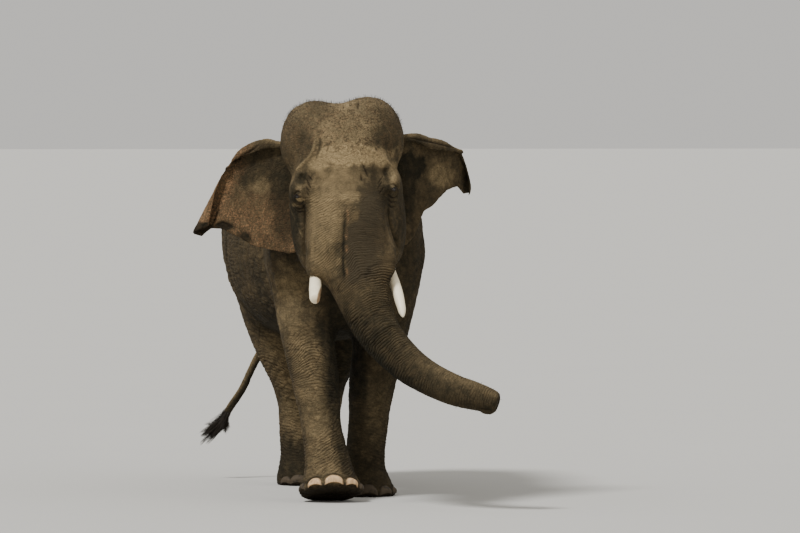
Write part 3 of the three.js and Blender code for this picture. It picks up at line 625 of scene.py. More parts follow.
def tube_mesh(name, chain, radii, around):
    """A closed tube along a chain."""
    side, other = ways_along(chain)[1:]
    turn = np.linspace(0, 2 * math.pi, around, endpoint=False)[None, :, None]
    out = np.cos(turn) * side[:, None] + np.sin(turn) * other[:, None]
    rings = chain[:, None] + radii[:, None, None] * out
    last = (len(chain) - 1) * around
    root, end = last + around, last + around + 1
    faces = []
    for j in range(around):
        k = (j + 1) % around
        faces.extend([(root, k, j), (end, last + j, last + k)])
        faces.extend((i + j, i + k, i + around + k, i + around + j) for i in range(0, last, around))
    return mesh_of(name, [*rings.reshape(-1, 3), chain[0], chain[-1]], faces)


def plate(rows, columns, first):
    """The faces of a closed plate between two grids of points, numbered from a first point."""
    at = np.arange(rows * columns).reshape(rows, columns) + first
    under = at + rows * columns
    faces = []
    for r in range(rows - 1):
        for c in range(columns - 1):
            faces.append((at[r, c], at[r, c + 1], at[r + 1, c + 1], at[r + 1, c]))
            faces.append((under[r, c], under[r + 1, c], under[r + 1, c + 1], under[r, c + 1]))
        faces.append((at[r, 0], at[r + 1, 0], under[r + 1, 0], under[r, 0]))
        faces.append((at[r + 1, -1], at[r, -1], under[r, -1], under[r + 1, -1]))
    for c in range(columns - 1):
        faces.append((at[0, c + 1], at[0, c], under[0, c], under[0, c + 1]))
        faces.append((at[-1, c], at[-1, c + 1], under[-1, c + 1], under[-1, c]))
    return [tuple(int(v) for v in face) for face in faces]


def bowed(roots, bends, tips, steps):
    """Paths that leave their roots towards a bend and end at their tips."""
    t = np.linspace(0, 1, steps)[None, :, None]
    return (1 - t) ** 2 * roots[:, None] + 2 * t * (1 - t) * bends[:, None] + t**2 * tips[:, None]


PATCH = 0.003  # side of the piece of the unwrap that each hair's colours are kept in


def strand_mesh(name, paths, half_width, half_thick, flats, seats):
    """Closed tapering strands, each with its own small patch at its root's place on an unwrap."""
    count, steps = paths.shape[:2]
    ways = unit(np.gradient(paths, axis=1))
    across = unit(np.cross(ways, flats[:, None]))
    out = np.cross(ways, across)
    taper = np.linspace(0, 1, steps)[None, :, None]
    taper = (1 - taper**2.2) * (0.75 + 0.25 * np.minimum(taper * 5, 1))
    wide = across * taper * half_width[:, None, None]
    thick = out * taper * half_thick[:, None, None]
    rings = np.stack([paths + wide, paths + thick, paths - wide, paths - thick], axis=2)[:, :-1]
    places = np.concatenate([rings.reshape(count, -1, 3), paths[:, -1:]], axis=1)
    each = places.shape[1]
    pattern = [(3, 2, 1, 0)]
    for j in range(4):
        k = (j + 1) % 4
        pattern.extend((4 * i + j, 4 * i + k, 4 * i + 4 + k, 4 * i + 4 + j) for i in range(steps - 2))
        pattern.append((4 * (steps - 2) + j, 4 * (steps - 2) + k, each - 1))
    faces = [tuple(each * i + v for v in face) for i in range(count) for face in pattern]
    mesh = mesh_of(name, places.reshape(-1, 3), faces)
    number = np.arange(each)
    within = np.stack([number // 4 / (steps - 1), (number % 4) / 4], axis=1) - 0.5
    spots = (seats[:, None] + PATCH * within[None]).reshape(-1, 2)
    corner = read(mesh.loops, "vertex_index", 1, np.int32)[:, 0]
    mesh.uv_layers.new(name="OFBake").data.foreach_set("uv", spots[corner].astype(np.float32).ravel())
    return mesh


# ---------------------------------------------------------------- the head's frame and the feet


def faced(q):
    """Places as the head sees them: to its left, behind it, and up."""
    return np.stack([q @ TO_LEFT, q @ TO_BACK, q[:, 2]], axis=1)


def surface_of(meshes):
    """A tree that finds places on meshes, and the number of the mesh that each of its faces is from."""
    points, faces, owner = [], [], []
    for number, mesh in enumerate(meshes):
        first = len(points)
        points.extend(v.co.copy() for v in mesh.vertices)
        faces.extend([first + i for i in face.vertices] for face in mesh.polygons)
        owner.extend([number] * len(mesh.polygons))
    return BVHTree.FromPolygons(points, faces), np.array(owner)


# Each foot's radius and length, and its nails, in its own frame with the toes towards -y
FOREFOOT = {"radius": 0.216, "length": 1.0, "nails": 5, "spread": math.radians(150)}
HINDFOOT = {"radius": 0.176, "length": 1.16, "nails": 4, "spread": math.radians(96)}
# The shape of each foot, where it stands, and how far its toes are lifted
FEET = {
    "forefoot_right": (FOREFOOT, (-0.175, -0.505), math.radians(18.0)),
    "forefoot_left": (FOREFOOT, LEFT_FOREFOOT[:2], 0.0),
    "hindfoot_right": (HINDFOOT, (-0.118, 1.580), 0.0),
    "hindfoot_left": (HINDFOOT, (0.098, 2.200), 0.0),
}
# How far the back of a lifted foot's heel is pressed flat
HEEL_SINK = 0.012
# A toenail's half width, the height where it starts, its own height, the arch of its lower edge and
# its thickness
NAIL = {"half_width": 0.062, "low": 0.010, "tall": 0.072, "arch": 0.018, "thick": 0.012}


class Foot:
    """A foot's own frame, tipped up about the back of its heel, and its nails."""

    def __init__(self, name):
        self.shape, (x, y), lift = FEET[name]
        heel = 0.93 * self.shape["radius"] * self.shape["length"]
        self.heel = np.array([0.0, heel, 0.0])
        self.base = np.array([x, y + heel, -HEEL_SINK if lift else 0.0])
        self.turn = np.array(Matrix.Rotation(-lift, 3, "X"))

    def world(self, points):
        return (points - self.heel) @ self.turn.T + self.base

    def local(self, q):
        return (q - self.base) @ self.turn + self.heel

    def nails(self):
        """The heading of each nail, 0 ahead, and its size."""
        for i in range(self.shape["nails"]):
            aside = i / (self.shape["nails"] - 1) - 0.5
            yield aside * self.shape["spread"], 1.12 - 0.6 * abs(aside)

    def ahead(self, heading):
        """The way out of the foot at a heading."""
        forward = -self.shape["length"] * np.cos(heading)
        return unit(np.stack([np.sin(heading), forward, 0 * heading], axis=-1))

    def away_from_nails(self, q):
        """How far each point is outside the nearest nail's outline, and how high above the sole."""
        x, y, z = self.local(q).T
        heading = np.arctan2(x, -y / self.shape["length"])
        gap = np.full(len(q), 1.0)
        for angle, size in self.nails():
            across = (heading - angle) * self.shape["radius"] / (NAIL["half_width"] * size)
            half = NAIL["tall"] * size / 2
            r = np.hypot(across, (z - NAIL["low"] - half * 0.85) / half)
            gap = np.minimum(gap, (r - 1) * half)
        return gap, z


FAR = 4.0  # a way off that is outside the animal on every side


def drawn_on(surface, view, points):
    """A chain on the skin, drawn as seen from the front, the left or the right."""
    chain = []
    for across, up in flowing(points):
        if view == "front":
            start = np.array([across, -FAR, up]) @ HEAD
            way = TO_BACK
        else:
            start = np.array([SIDES[view] * FAR, across, up])
            way = np.array([-SIDES[view], 0.0, 0.0])
        spot = surface.ray_cast(Vector(start + ORIGIN), Vector(way))[0]
        if spot is not None:
            chain.append(np.array(spot) - ORIGIN)
    return np.array(chain)


# What is pressed into the face or raised from it: half width and height in metres, and where it
# runs, in metres to the left of the forelegs' middle and up from the floor, as seen from ahead.
FACE_FORMS = {
    "right temple": (0.055, -0.016, [(-0.30, 2.56), (-0.32, 2.47), (-0.33, 2.40)]),
    "left temple": (0.060, -0.018, [(0.20, 2.60), (0.27, 2.50), (0.32, 2.42)]),
    "right temple's ridge": (0.014, 0.010, [
        (-0.20, 2.56), (-0.21, 2.48), (-0.24, 2.41), (-0.29, 2.36), (-0.34, 2.31),
    ]),
    "left temple's ridge": (0.018, 0.008, [(0.12, 2.48), (0.22, 2.43), (0.29, 2.38), (0.34, 2.32)]),
    "inside the right ridge": (0.014, -0.007, [(-0.17, 2.54), (-0.175, 2.47), (-0.20, 2.39)]),
    "brow": (0.085, 0.012, [(-0.20, 2.37), (0.0, 2.43), (0.20, 2.36)]),
    "right eye's hollow": (0.028, -0.018, [(-0.305, 2.29), (-0.295, 2.24)]),
    "left eye's hollow": (0.030, -0.016, [(0.285, 2.33), (0.300, 2.27)]),
    "right cheek's crease": (0.019, -0.022, [
        (-0.285, 2.07), (-0.285, 1.97), (-0.290, 1.86), (-0.282, 1.74),
    ]),
    "left cheek's crease": (0.018, -0.020, [(0.300, 2.05), (0.318, 1.95), (0.345, 1.86), (0.372, 1.78)]),
    "right cheek's edge": (0.010, 0.006, [
        (-0.398, 2.15), (-0.394, 2.09), (-0.375, 2.04), (-0.350, 1.985), (-0.320, 1.92), (-0.298, 1.85),
    ]),
    "right of the bridge": (0.022, 0.007, [(-0.19, 2.33), (-0.21, 2.22), (-0.25, 2.11)]),
    "crown's cleft": (0.050, -0.010, [(-0.03, 2.78), (-0.02, 2.66), (-0.01, 2.55)]),
    "lower lip of the trunk's tip": (0.020, 0.012, [(0.935, 0.690), (0.968, 0.672), (1.005, 0.680)]),
}
FACE_LINES = {
    "lines from the right eye": (0.0045, -0.0055, [
        [(-0.272, 2.262), (-0.238, 2.215)],
        [(-0.262, 2.235), (-0.226, 2.185)],
        [(-0.268, 2.205), (-0.236, 2.160)],
        [(-0.256, 2.285), (-0.222, 2.245)],
        [(-0.262, 2.170), (-0.240, 2.135)],
    ]),
    "lines from the left eye": (0.0045, -0.0050, [
        [(0.262, 2.275), (0.228, 2.225)],
        [(0.256, 2.240), (0.226, 2.190)],
        [(0.268, 2.200), (0.238, 2.155)],
    ]),
    "bags under the right eye": (0.0060, -0.0065, [
        [(-0.365, 2.115), (-0.335, 2.080), (-0.300, 2.082), (-0.282, 2.108)],
        [(-0.362, 2.085), (-0.330, 2.050), (-0.298, 2.052), (-0.276, 2.080)],
        [(-0.350, 2.050), (-0.322, 2.025), (-0.292, 2.030)],
    ]),
    "bags under the left eye": (0.0060, -0.0060, [
        [(0.298, 2.150), (0.325, 2.125), (0.352, 2.130), (0.366, 2.155)],
        [(0.294, 2.120), (0.325, 2.092), (0.356, 2.100)],
        [(0.296, 2.085), (0.322, 2.060), (0.350, 2.068)],
    ]),
    "above the lower lip of the trunk's tip": (0.0060, -0.0070, [
        [(0.915, 0.712), (0.955, 0.700), (0.990, 0.702)],
    ]),
    "scars on the forehead": (0.0075, -0.0065, [
        [(0.115, 2.365), (0.140, 2.320), (0.160, 2.270)],
        [(0.090, 2.790), (0.088, 2.735)],
        [(0.112, 2.290), (0.118, 2.245)],
    ]),
}
# The same for both flanks, in metres behind the forelegs' middle and up from the floor.
FLANK_FORMS = {
    "shoulder blade": (0.050, 0.014, [(0.12, 2.35), (0.02, 2.05), (-0.10, 1.75), (-0.16, 1.45)]),
    "behind the shoulder": (0.050, -0.016, [(0.40, 2.15), (0.36, 1.80), (0.33, 1.45)]),
    "elbow": (0.045, 0.016, [(0.20, 1.32), (0.16, 1.20)]),
    "behind the elbow": (0.024, -0.022, [(0.42, 1.38), (0.32, 1.24), (0.27, 1.10)]),
    "fold of the flank": (0.030, 0.016, [(1.05, 1.10), (1.22, 1.22), (1.34, 1.42), (1.42, 1.62)]),
    "ahead of the thigh": (0.045, -0.018, [(1.20, 1.85), (1.22, 1.60), (1.18, 1.40)]),
    "hip bone": (0.070, 0.020, [(1.45, 2.38), (1.60, 2.30)]),
    "hollow of the flank": (0.090, -0.022, [(1.15, 2.20), (1.20, 2.00)]),
    "rump's edge": (0.040, 0.010, [(1.95, 2.25), (2.12, 2.00), (2.15, 1.75)]),
    "neck's crease": (0.022, -0.012, [(-0.22, 2.35), (-0.18, 2.15), (-0.20, 1.95)]),
    "neck's second crease": (0.020, -0.009, [(-0.08, 2.40), (-0.03, 2.15), (-0.06, 1.90)]),
}
RIBS = {"first": 0.50, "step": 0.105, "count": 6, "width": 0.034, "height": 0.0025}


def rib_forms():
    """The ribs, faint under the skin and leaning back."""
    forms = {}
    for i in range(RIBS["count"]):
        y = RIBS["first"] + i * RIBS["step"]
        chain = [(y - 0.04, 2.25), (y + 0.02, 1.95), (y + 0.05, 1.65), (y + 0.02, 1.40)]
        forms[f"rib {i + 1}"] = (RIBS["width"], RIBS["height"], chain)
    return forms


def pressed(q, chain, width):
    """The points near a chain, and how fully each lies on it; the chain thins towards its ends."""
    near = inside(q, chain.min(axis=0) - 3 * width, chain.max(axis=0) + 3 * width)
    gone, away = along_line(q[near], chain)
    past = gone / way_gone(chain)[-1]
    thin = np.clip(4 * past * (1 - past), 0, 1) ** 0.5
    share = hump(np.linalg.norm(away, axis=1), 0, width * (0.45 + 0.55 * thin))
    return near, share * (0.35 + 0.65 * thin)


# Lines and hollows of the ears: half width, height, and where they run, as seen from ahead.
EAR_LINES = {
    "right ear's fold": (0.011, -0.013, [(-0.83, 2.335), (-0.74, 2.393), (-0.67, 2.435), (-0.60, 2.490)]),
    "right of the right ear's roll": (0.008, -0.010, [(-0.885, 2.040), (-0.906, 1.994), (-0.925, 1.94)]),
    "right ear's second hollow": (0.024, -0.018, [(-0.89, 1.935), (-0.85, 1.925), (-0.80, 1.915)]),
    "left ear's fold": (0.009, -0.010, [(0.43, 2.540), (0.60, 2.505), (0.76, 2.465)]),
    "inside the left ear's roll": (0.008, -0.008, [(0.80, 2.40), (0.84, 2.30), (0.845, 2.22)]),
}


# Forms narrower than this get painted light on their ridges and painted shade in their troughs.
NARROW = 0.0195


def form_strokes(flesh, ears):
    """Every form and line: its chain on the skin, half width, height, and if it is a line or on an ear."""
    body, _ = surface_of([flesh.data])
    sheets, _ = surface_of([ears.data])
    for width, height, points in EAR_LINES.values():
        yield drawn_on(sheets, "front", points), width, height, True, True
    for width, height, points in FACE_FORMS.values():
        yield drawn_on(body, "front", points), width, height, False, False
    for width, height, chains in FACE_LINES.values():
        for points in chains:
            yield drawn_on(body, "front", points), width, height, True, False
    for side in SIDES:
        for width, height, points in {**FLANK_FORMS, **rib_forms()}.values():
            yield drawn_on(body, side, points), width, height, False, False


# ---------------------------------------------------------------- the skin


def nearest_nodes(places, names):
    """For each place, the number in the list of the node whose surface is nearest."""
    tree, owner = surface_of([NODES[name].data for name in names])
    return owner[[tree.find_nearest(Vector(place))[2] for place in places]]


def reach_of(name):
    """How far a node's facets are smoothed."""
    return next(reach for start, reach in SMOOTHING if start in name)


# The last of the tail's bone, under its hair: behind the forelegs' middle, as (x, y, z, radius)
TAIL_BONE = [
    (-0.430, 2.367, 0.730, 0.024),
    (-0.478, 2.362, 0.640, 0.023),
    (-0.554, 2.360, 0.530, 0.022),
    (-0.607, 2.354, 0.438, 0.017),
]


def tail_bone():
    """The middle of the tail's bone under its hair, and its radius, point by point."""
    knots = flowing(TAIL_BONE, 8)
    return knots[:, :3] + ORIGIN, knots[:, 3]


def soft_flesh(sizes):
    """The flesh as one closed form with its facets smoothed away."""
    solids = [NODES[name].data for name in [*FLESH, "eye_right", "eye_left"]]
    bone = tube_mesh("tail_bone", *tail_bone(), 16)
    obj = remeshed(joined("flesh", [*solids, bone]), sizes.cell)
    keep_largest(obj)
    shape = Shape(obj.data)
    reach = np.array([reach_of(name) for name in FLESH])[nearest_nodes(shape.places, FLESH)]
    reach = shape.spread(reach[:, None], 12)[:, 0]
    shape.smooth(reach, sizes.cell)
    shape.write(obj.data)
    return obj


# How near an ear's root comes to the head where it starts to sink in, and how deep it sinks
ROOT_REACH = 0.035
ROOT_DEPTH = 0.045


def soft_ears(sizes, flesh):
    """The ears as smooth sheets whose roots reach into the head."""
    obj = remeshed(joined("ears", [NODES[name].data for name in EARS]), sizes.ear_cell)
    shape = Shape(obj.data)
    shape.smooth(np.full(len(shape.places), sizes.ear_smoothing), sizes.ear_cell)
    head = BVHTree.FromObject(flesh, bpy.context.evaluated_depsgraph_get())
    for i, place in enumerate(shape.places):
        normal, _, distance = head.find_nearest(Vector(place), ROOT_REACH)[1:]
        if normal is not None:
            shape.places[i] -= np.array(normal) * ROOT_DEPTH * (1 - distance / ROOT_REACH)
    shape.write(obj.data)
    return obj


def united(first, second):
    """One closed mesh of two."""
    union = first.modifiers.new("union", "BOOLEAN")
    union.operation = "UNION"
    union.solver = "MANIFOLD"
    union.object = second
    settled(first)
    bpy.data.objects.remove(second)
    return first


# Which way the left eye looks, to the head's left, behind it and up
EYE_GAZE = (0.80, -0.58, -0.10)


def eye_seat(side):
    """The middle of an eyeball, its radius, and the ways out of the head, up, and along the lids."""
    low, high = corners(f"eye_{side}")
    out = unit(np.array(EYE_GAZE) * (SIDES[side], 1, 1) @ HEAD)
    up = unit(UP - out * (UP @ out))
    return (low + high) / 2, (high - low)[2] / 2, out, up, np.cross(up, out)


def detail_zones(q):
    """Where the skin's mesh is made finer at first, and where it then gets the finest."""
    x, back, z = faced(q).T
    face = (back < -0.42) & (z > 1.35) & (np.abs(x) < 0.46)
    trunk = (back < -0.75) & (z > 0.55)
    wrist = (q[:, 1] < -0.12) & (np.abs(q[:, 0] + 0.22) < 0.24) & (z < 1.45)
    eyes = np.zeros(len(q), bool)
    for side in SIDES:
        centre, radius, out = eye_seat(side)[:3]
        offset = q + ORIGIN - centre
        eyes |= (np.linalg.norm(offset, axis=1) < 3.2 * radius) & (offset @ out > 0)
    return face | trunk | wrist | eyes, eyes


def refined(obj):
    """Finer cells for the face, trunk and stepping forefoot, and the finest round the eyes."""
    for level in range(3):
        kind = min(level, 1)
        refine(obj, detail_zones(vertices_of(obj.data) - ORIGIN)[kind])
        shape = Shape(obj.data)
        zone = detail_zones(shape.places - ORIGIN)[kind]
        shape.places = shape.spread(shape.places, 3, 0.5 * zone[:, None])
        shape.write(obj.data)


class Lay:
    """Where each point of the skin is on the animal, as shares and ways that folds and colours use."""

    def __init__(self, places):
        self.q = places - ORIGIN
        self.faced = faced(self.q)
        y, z = self.q[:, 1], self.q[:, 2]
        across = self.faced[:, 0]
        self.gone, self.aside, self.upward = self.trunk_frame(trunk_line())
        self.girth = np.hypot(self.aside, self.upward)
        front = 1 - ease(self.faced[:, 1], -0.86, -0.70)
        between = 1 - ease(np.abs(across - 0.01), 0.24, 0.31)
        face = front * between * (1 - ease(z, 2.10, 2.34)) * ease(z, 1.35, 1.5)
        tube = (1 - ease(self.girth, 0.27, 0.34)) * ease(self.gone, 0.90, 1.05)
        self.trunk = np.maximum(face, tube)
        low = 1 - ease(z, 1.0, 1.35)
        self.tail = ease(y, 2.24, 2.30) * (self.q[:, 0] < 0.05)
        self.tail *= ease(z, 0.36, 0.42) * (1 - ease(z, 1.8, 2.0))
        self.leg = low * (1 - self.trunk) * (1 - self.tail) * (np.abs(self.q[:, 0]) < 0.45)
        self.nail_gap, self.sole = self.round_nails()
        self.ear = 1 - ease(self.away_from_ears(places, 0.06), 0.012, 0.045)
        head = middle("head") - ORIGIN
        away = np.linalg.norm((self.q - head) / np.array([0.62, 0.85, 0.9]), axis=1)
        self.head = (1 - ease(away, 0.75, 1.0)) * (1 - self.trunk) * (1 - self.ear)

    def clouds(self, scale, seed):
        """Noise over the animal, finer where the scale is larger."""
        return clouds(self.q * scale, seed)

    def round_nails(self):
        """How far each point is from a toenail's outline, and 1 at the rim of a sole."""
        gap = np.full(len(self.q), 1.0)
        sole = np.zeros(len(self.q))
        for name in FEET:
            low, high = corners(name)
            near = inside(self.q + ORIGIN, low - 0.06, high + 0.03)
            gap[near], height = Foot(name).away_from_nails(self.q[near])
            sole[near] = 1 - ease(height, 0.012, 0.030)
        return gap, sole

    @staticmethod
    def away_from_ears(places, reach):
        away = np.full(len(places), reach)
        for name in EARS:
            low, high = corners(name)
            near = inside(places, low - reach, high + reach)
            ear, _ = surface_of([NODES[name].data])
            found = [ear.find_nearest(Vector(place), reach)[3] for place in places[near]]
            found = [reach if distance is None else distance for distance in found]
            away[near] = np.minimum(away[near], found)
        return away

    def trunk_frame(self, line):
        """How far along the trunk's line each point is, how far to its side and how far above it."""
        gone, out = along_line(self.q, line)
        steps = unit(np.diff(line, axis=0))
        way = steps[np.clip(np.searchsorted(way_gone(line)[1:], gone), 0, len(steps) - 1)]
        side = unit(np.cross(way, [0.0, 1.0, 0.0]))
        rise = np.cross(side, way)
        return gone, (out * side).sum(axis=1), (out * rise).sum(axis=1)

    def lie(self):
        """Places with the hide's grain drawn out, so that even cells make rings and folds."""
        body = self.q * np.array([1.0, 0.42, 1.15])
        leg = self.q * np.array([0.9, 0.9, 2.0])
        tube = np.stack([self.aside * 0.6, self.upward * 0.6, self.gone * 2.2], axis=1)
        lie = body + self.leg[:, None] * (leg - body)
        return lie + self.trunk[:, None] * (tube - lie)


def wandering(points, seed, width):
    """1 along the lines where smooth noise changes sign, and 0 away from them."""
    return 1 - ease(np.abs(clouds(points, seed)), 0.0, width)


# The mean height of a ripple, which is taken off so that folds neither thicken nor thin the animal
RIPPLE_MEAN = 0.62


def ripple(phase, power=0.7):
    """Round folds with sharp grooves, a groove at each whole number, about as much out as in."""
    return np.abs(np.sin(math.pi * phase)) ** power - RIPPLE_MEAN


def net_folds(lay, look):
    """The net of creases all over the hide, in two sizes."""
    lie = lay.lie()
    warp = np.stack([clouds(lay.q * 7 + 5 * n, 11 + n) for n in range(3)], axis=1)
    bare = (1 - lay.ear) * (1 - 0.75 * lay.head) * (1 - lay.trunk) * (1 - 0.8 * lay.tail)
    x, y, z = lay.q.T
    broken = ease(lay.clouds(6, 15), -0.6, 0.5) * (0.25 + 0.75 * ease(y, 0.0, 0.5))
    net = cracks((lie + warp * 0.016) / look.net_cell, 21)
    broad = (1 - ease(net, 0.0, 0.30)) * bare * (0.3 + 0.7 * broken)
    slant = z + 0.7 * (y + x)
    other = z - 0.7 * (y + x)
    first = wandering(np.stack([slant * 17, other * 5, x * 5], axis=1), 23, 0.22)
    second = wandering(np.stack([other * 15, slant * 5, x * 5], axis=1), 27, 0.22)
    lines = np.maximum(first, second) * bare
    height = -broad * look.net_depth - lines * look.net_depth * 0.6
    return height, np.maximum(broad * 0.6, lines * 0.45)


def ring_folds(lay, look):
    """The rings of the trunk, widest below the face, which fan out on the right over the face."""
    way = np.linspace(0, lay.gone.max(), 400)
    spacings = [look.face_spacing, look.ring_spacing, look.ring_spacing, look.tip_spacing]
    spacing = np.interp(way, [0.85, 1.15, 1.60, way[-1]], spacings)
    spaced = np.interp(lay.gone, way, np.cumsum((way[1] - way[0]) / spacing))
    jitter = 0.85 * lay.clouds(4.5, 41) + 0.55 * lay.clouds(14, 42) + 0.30 * lay.clouds(33, 45)
    out = np.clip(-lay.aside, 0, 0.24)
    fan = 0.78 * out * (1 - 2.0 * out) / look.face_spacing * (1 - ease(lay.gone, 0.90, 1.30))
    phase = spaced + jitter - fan
    rough = ease(lay.gone, 0.90, 1.12) * (1 - ease(lay.gone, 1.45, 1.95))
    broken = np.clip(0.72 + 0.50 * lay.clouds(7, 43) + 0.25 * lay.clouds(20, 46), 0.10, 1.2)
    strength = lay.trunk * broken * (0.85 + 0.35 * rough)
    height = ripple(phase, 0.75) * look.ring_depth * strength * (0.45 + 0.75 * rough)
    fold = np.stack([(spaced - fan) * 0.24, lay.aside * 4, lay.upward * 4], axis=1)
    deep = wandering(fold, 44, 0.10) * (0.4 + 0.6 * rough)
    height -= deep * lay.trunk * look.ring_depth * 0.5
    return height, deep * lay.trunk * 0.5, phase, strength


def flank_folds(lay, look, normals):
    """Wavy folds along the flanks, broken up by the net."""
    y, z = lay.q[:, 1], lay.q[:, 2]
    bow = 1.3 * lay.clouds((5, 2, 5), 81) + 0.6 * lay.clouds((14, 7, 14), 82)
    phase = (z - 0.12 * y) / look.flank_spacing + bow + 0.35 * lay.clouds(38, 83)
    broken = np.clip(0.45 + 0.9 * lay.clouds((6, 4, 9), 84), 0, 1)
    side = ease(np.abs(normals[:, 0]), 0.25, 0.65) * ease(y, 0.15, 0.40) * ease(z, 1.0, 1.25)
    strength = 0.80 * broken * side * (1 - ease(z, 2.05, 2.35)) * (1 - lay.ear) * (1 - lay.tail)
    return ripple(phase) * look.flank_depth * strength, phase, strength


def leg_folds(lay, look):
    """Folds across the legs, deepest over the wrists, knees and above the feet."""
    x, y, z = lay.q.T
    bow = 0.9 * lay.clouds((5, 5, 3.5), 51) + 0.50 * lay.clouds(15, 52) + 0.30 * lay.clouds(36, 54)
    ahead = 1 - ease(y, -0.15, 0.05)
    arch = 4.0 * (x + 0.25) ** 2 * hump(z, 1.02, 0.22)
    tilt = ahead * (arch - 0.55 * x * (1 - ease(z, 0.45, 0.75))) + 0.3 * x * (1 - ahead)
    phase = (z + tilt) / look.leg_spacing + bow
    wrist = hump(z, 1.02, 0.28) * (y < 0.5)
    knee = hump(z, 0.92, 0.20) * (y > 1.0)
    ankle = hump(z, 0.32, 0.15)
    where = np.clip(0.25 + wrist + 0.7 * knee + ankle, 0, 1) * lay.leg * ease(lay.nail_gap, 0.012, 0.030)
    where = where * ease(z, 0.10, 0.17)
    strength = where * np.clip(0.70 + 0.45 * lay.clouds((6, 6, 3), 53), 0.1, 1.1)
    return ripple(phase) * look.leg_depth * strength, phase, strength * 0.85


def ear_folds(lay):
    """Fine folds that run down the ears, and a few veins that branch out over them."""
    x, back, z = lay.faced.T
    down = wandering(np.stack([x * 22 + z * 6, back * 8, z * 3.5], axis=1), 71, 0.30) * lay.ear
    fine = wandering(np.stack([x * 55 - z * 14, back * 20, z * 11], axis=1), 72, 0.35) * lay.ear
    swell = clouds(np.stack([x * 6, back * 5, z * 4], axis=1), 73) * lay.ear
    height = swell * 0.006 - down * 0.0022 - fine * 0.0012
    return height, np.maximum(down * 0.35, fine * 0.3)


TAIL_FILL = 0.008  # what the smoothing takes from the thin tail, and the flesh round its bone


def folds(lay, look, normals):
    """How far the hide stands out, how deep in a groove it lies, and the phase and strength of its rings."""
    height = lay.clouds(2.2, 3) * 0.003 * (1 - lay.ear) * (1 - lay.head)
    net, net_groove = net_folds(lay, look)
    ears, ear_groove = ear_folds(lay)
    trunk, trunk_groove, trunk_phase, trunk_rings = ring_folds(lay, look)
    legs, leg_phase, leg_rings = leg_folds(lay, look)
    flanks, flank_phase, flank_rings = flank_folds(lay, look, normals)
    height += net + ears + trunk + legs + flanks + nail_beds(lay) + TAIL_FILL * lay.tail
    phases = np.stack([trunk_phase, leg_phase, flank_phase])
    rings = np.stack([trunk_rings, leg_rings, flank_rings])
    phase = np.take_along_axis(phases, rings.argmax(axis=0)[None], axis=0)[0]
    # Grooves are darkened as painted shade, and the soles' rims with painted shade and dirt.
    groove = np.max([net_groove, ear_groove, trunk_groove, lay.sole], axis=0)
    return height, groove, phase, rings.max(axis=0)


def nail_beds(lay):
    """The groove round each toenail and the smooth swelling above it."""
    return 0.005 * hump(lay.nail_gap, 0.014, 0.009) - 0.004 * hump(lay.nail_gap, 0.001, 0.005)


# The distance between the wrinkles round an eye, and their height
EYE_RING = 0.0125
EYE_RING_DEPTH = 0.0040


def round_eyes(lay):
    """Wrinkles in rings round the eyes."""
    height = np.zeros(len(lay.q))
    for side in SIDES:
        centre, radius, out, up, along = eye_seat(side)
        offset = lay.q + ORIGIN - centre
        ring = np.hypot(offset @ along, offset @ up * 1.25)
        near = ease(ring, radius * 1.2, radius * 1.7) * (1 - ease(ring, radius * 2.6, radius * 4.6))
        near = near * (offset @ out > -0.02)
        phase = ring / EYE_RING + 0.8 * lay.clouds(22, 81)
        height += near * (ripple(phase) + 0.02) * EYE_RING_DEPTH
    return height


# The opening between the lids as shares of the eyeball's radius, the lids' thickness, how far behind
# the eyeball's front the skin is in the opening, the height of the lids' edge, and how far outside
# the opening they start to leave the eyeball and how far they have left it
LID = {
    "half_width": 1.00,
    "half_height": 0.52,
    "thick": 0.0045,
    "behind": 0.007,
    "edge": 0.0035,
    "rim": 0.006,
    "blend": 0.030,
}


def seat_lids(q):
    """Opens the skin over each eyeball, lays the lids on it, and gives their edges."""
    lids = np.zeros(len(q))
    for side in SIDES:
        centre, radius, out, up, along = eye_seat(side)
        offset = q + ORIGIN - centre
        a, b, c = offset @ along, offset @ up, offset @ out
        r = np.hypot(a, b)
        near = np.flatnonzero((r < radius * 2.4) & (c > -radius * 0.4) & (c < radius * 2.5))
        a, b, c, r = a[near], b[near], c[near], r[near]
        width = LID["half_width"] * radius
        open_height = LID["half_height"] * radius * np.clip(1 - (a / width) ** 2, 0, 1) ** 0.8
        past = np.where(np.abs(a) < width, np.abs(b) - open_height, np.hypot(np.abs(a) - width, b))
        ball = np.sqrt(np.clip(radius**2 - r**2, 0, None))
        over = np.sqrt(np.clip((radius + LID["thick"]) ** 2 - r**2, 0, None))
        rim = ease(past, -0.0022, 0.0012)
        seated = (ball - LID["behind"]) * (1 - rim) + over * rim
        seated += LID["edge"] * hump(past, 0.004, 0.003) * (1 + 0.5 * (b > 0))
        out_of_lid = ease(past, LID["rim"], LID["blend"])
        settled_height = seated * (1 - out_of_lid) + c * out_of_lid
        q[near] += np.outer(settled_height - c, out)
        lids[near] = np.maximum(lids[near], hump(past, 0, 0.0035) * (past < 0.012))
    return lids


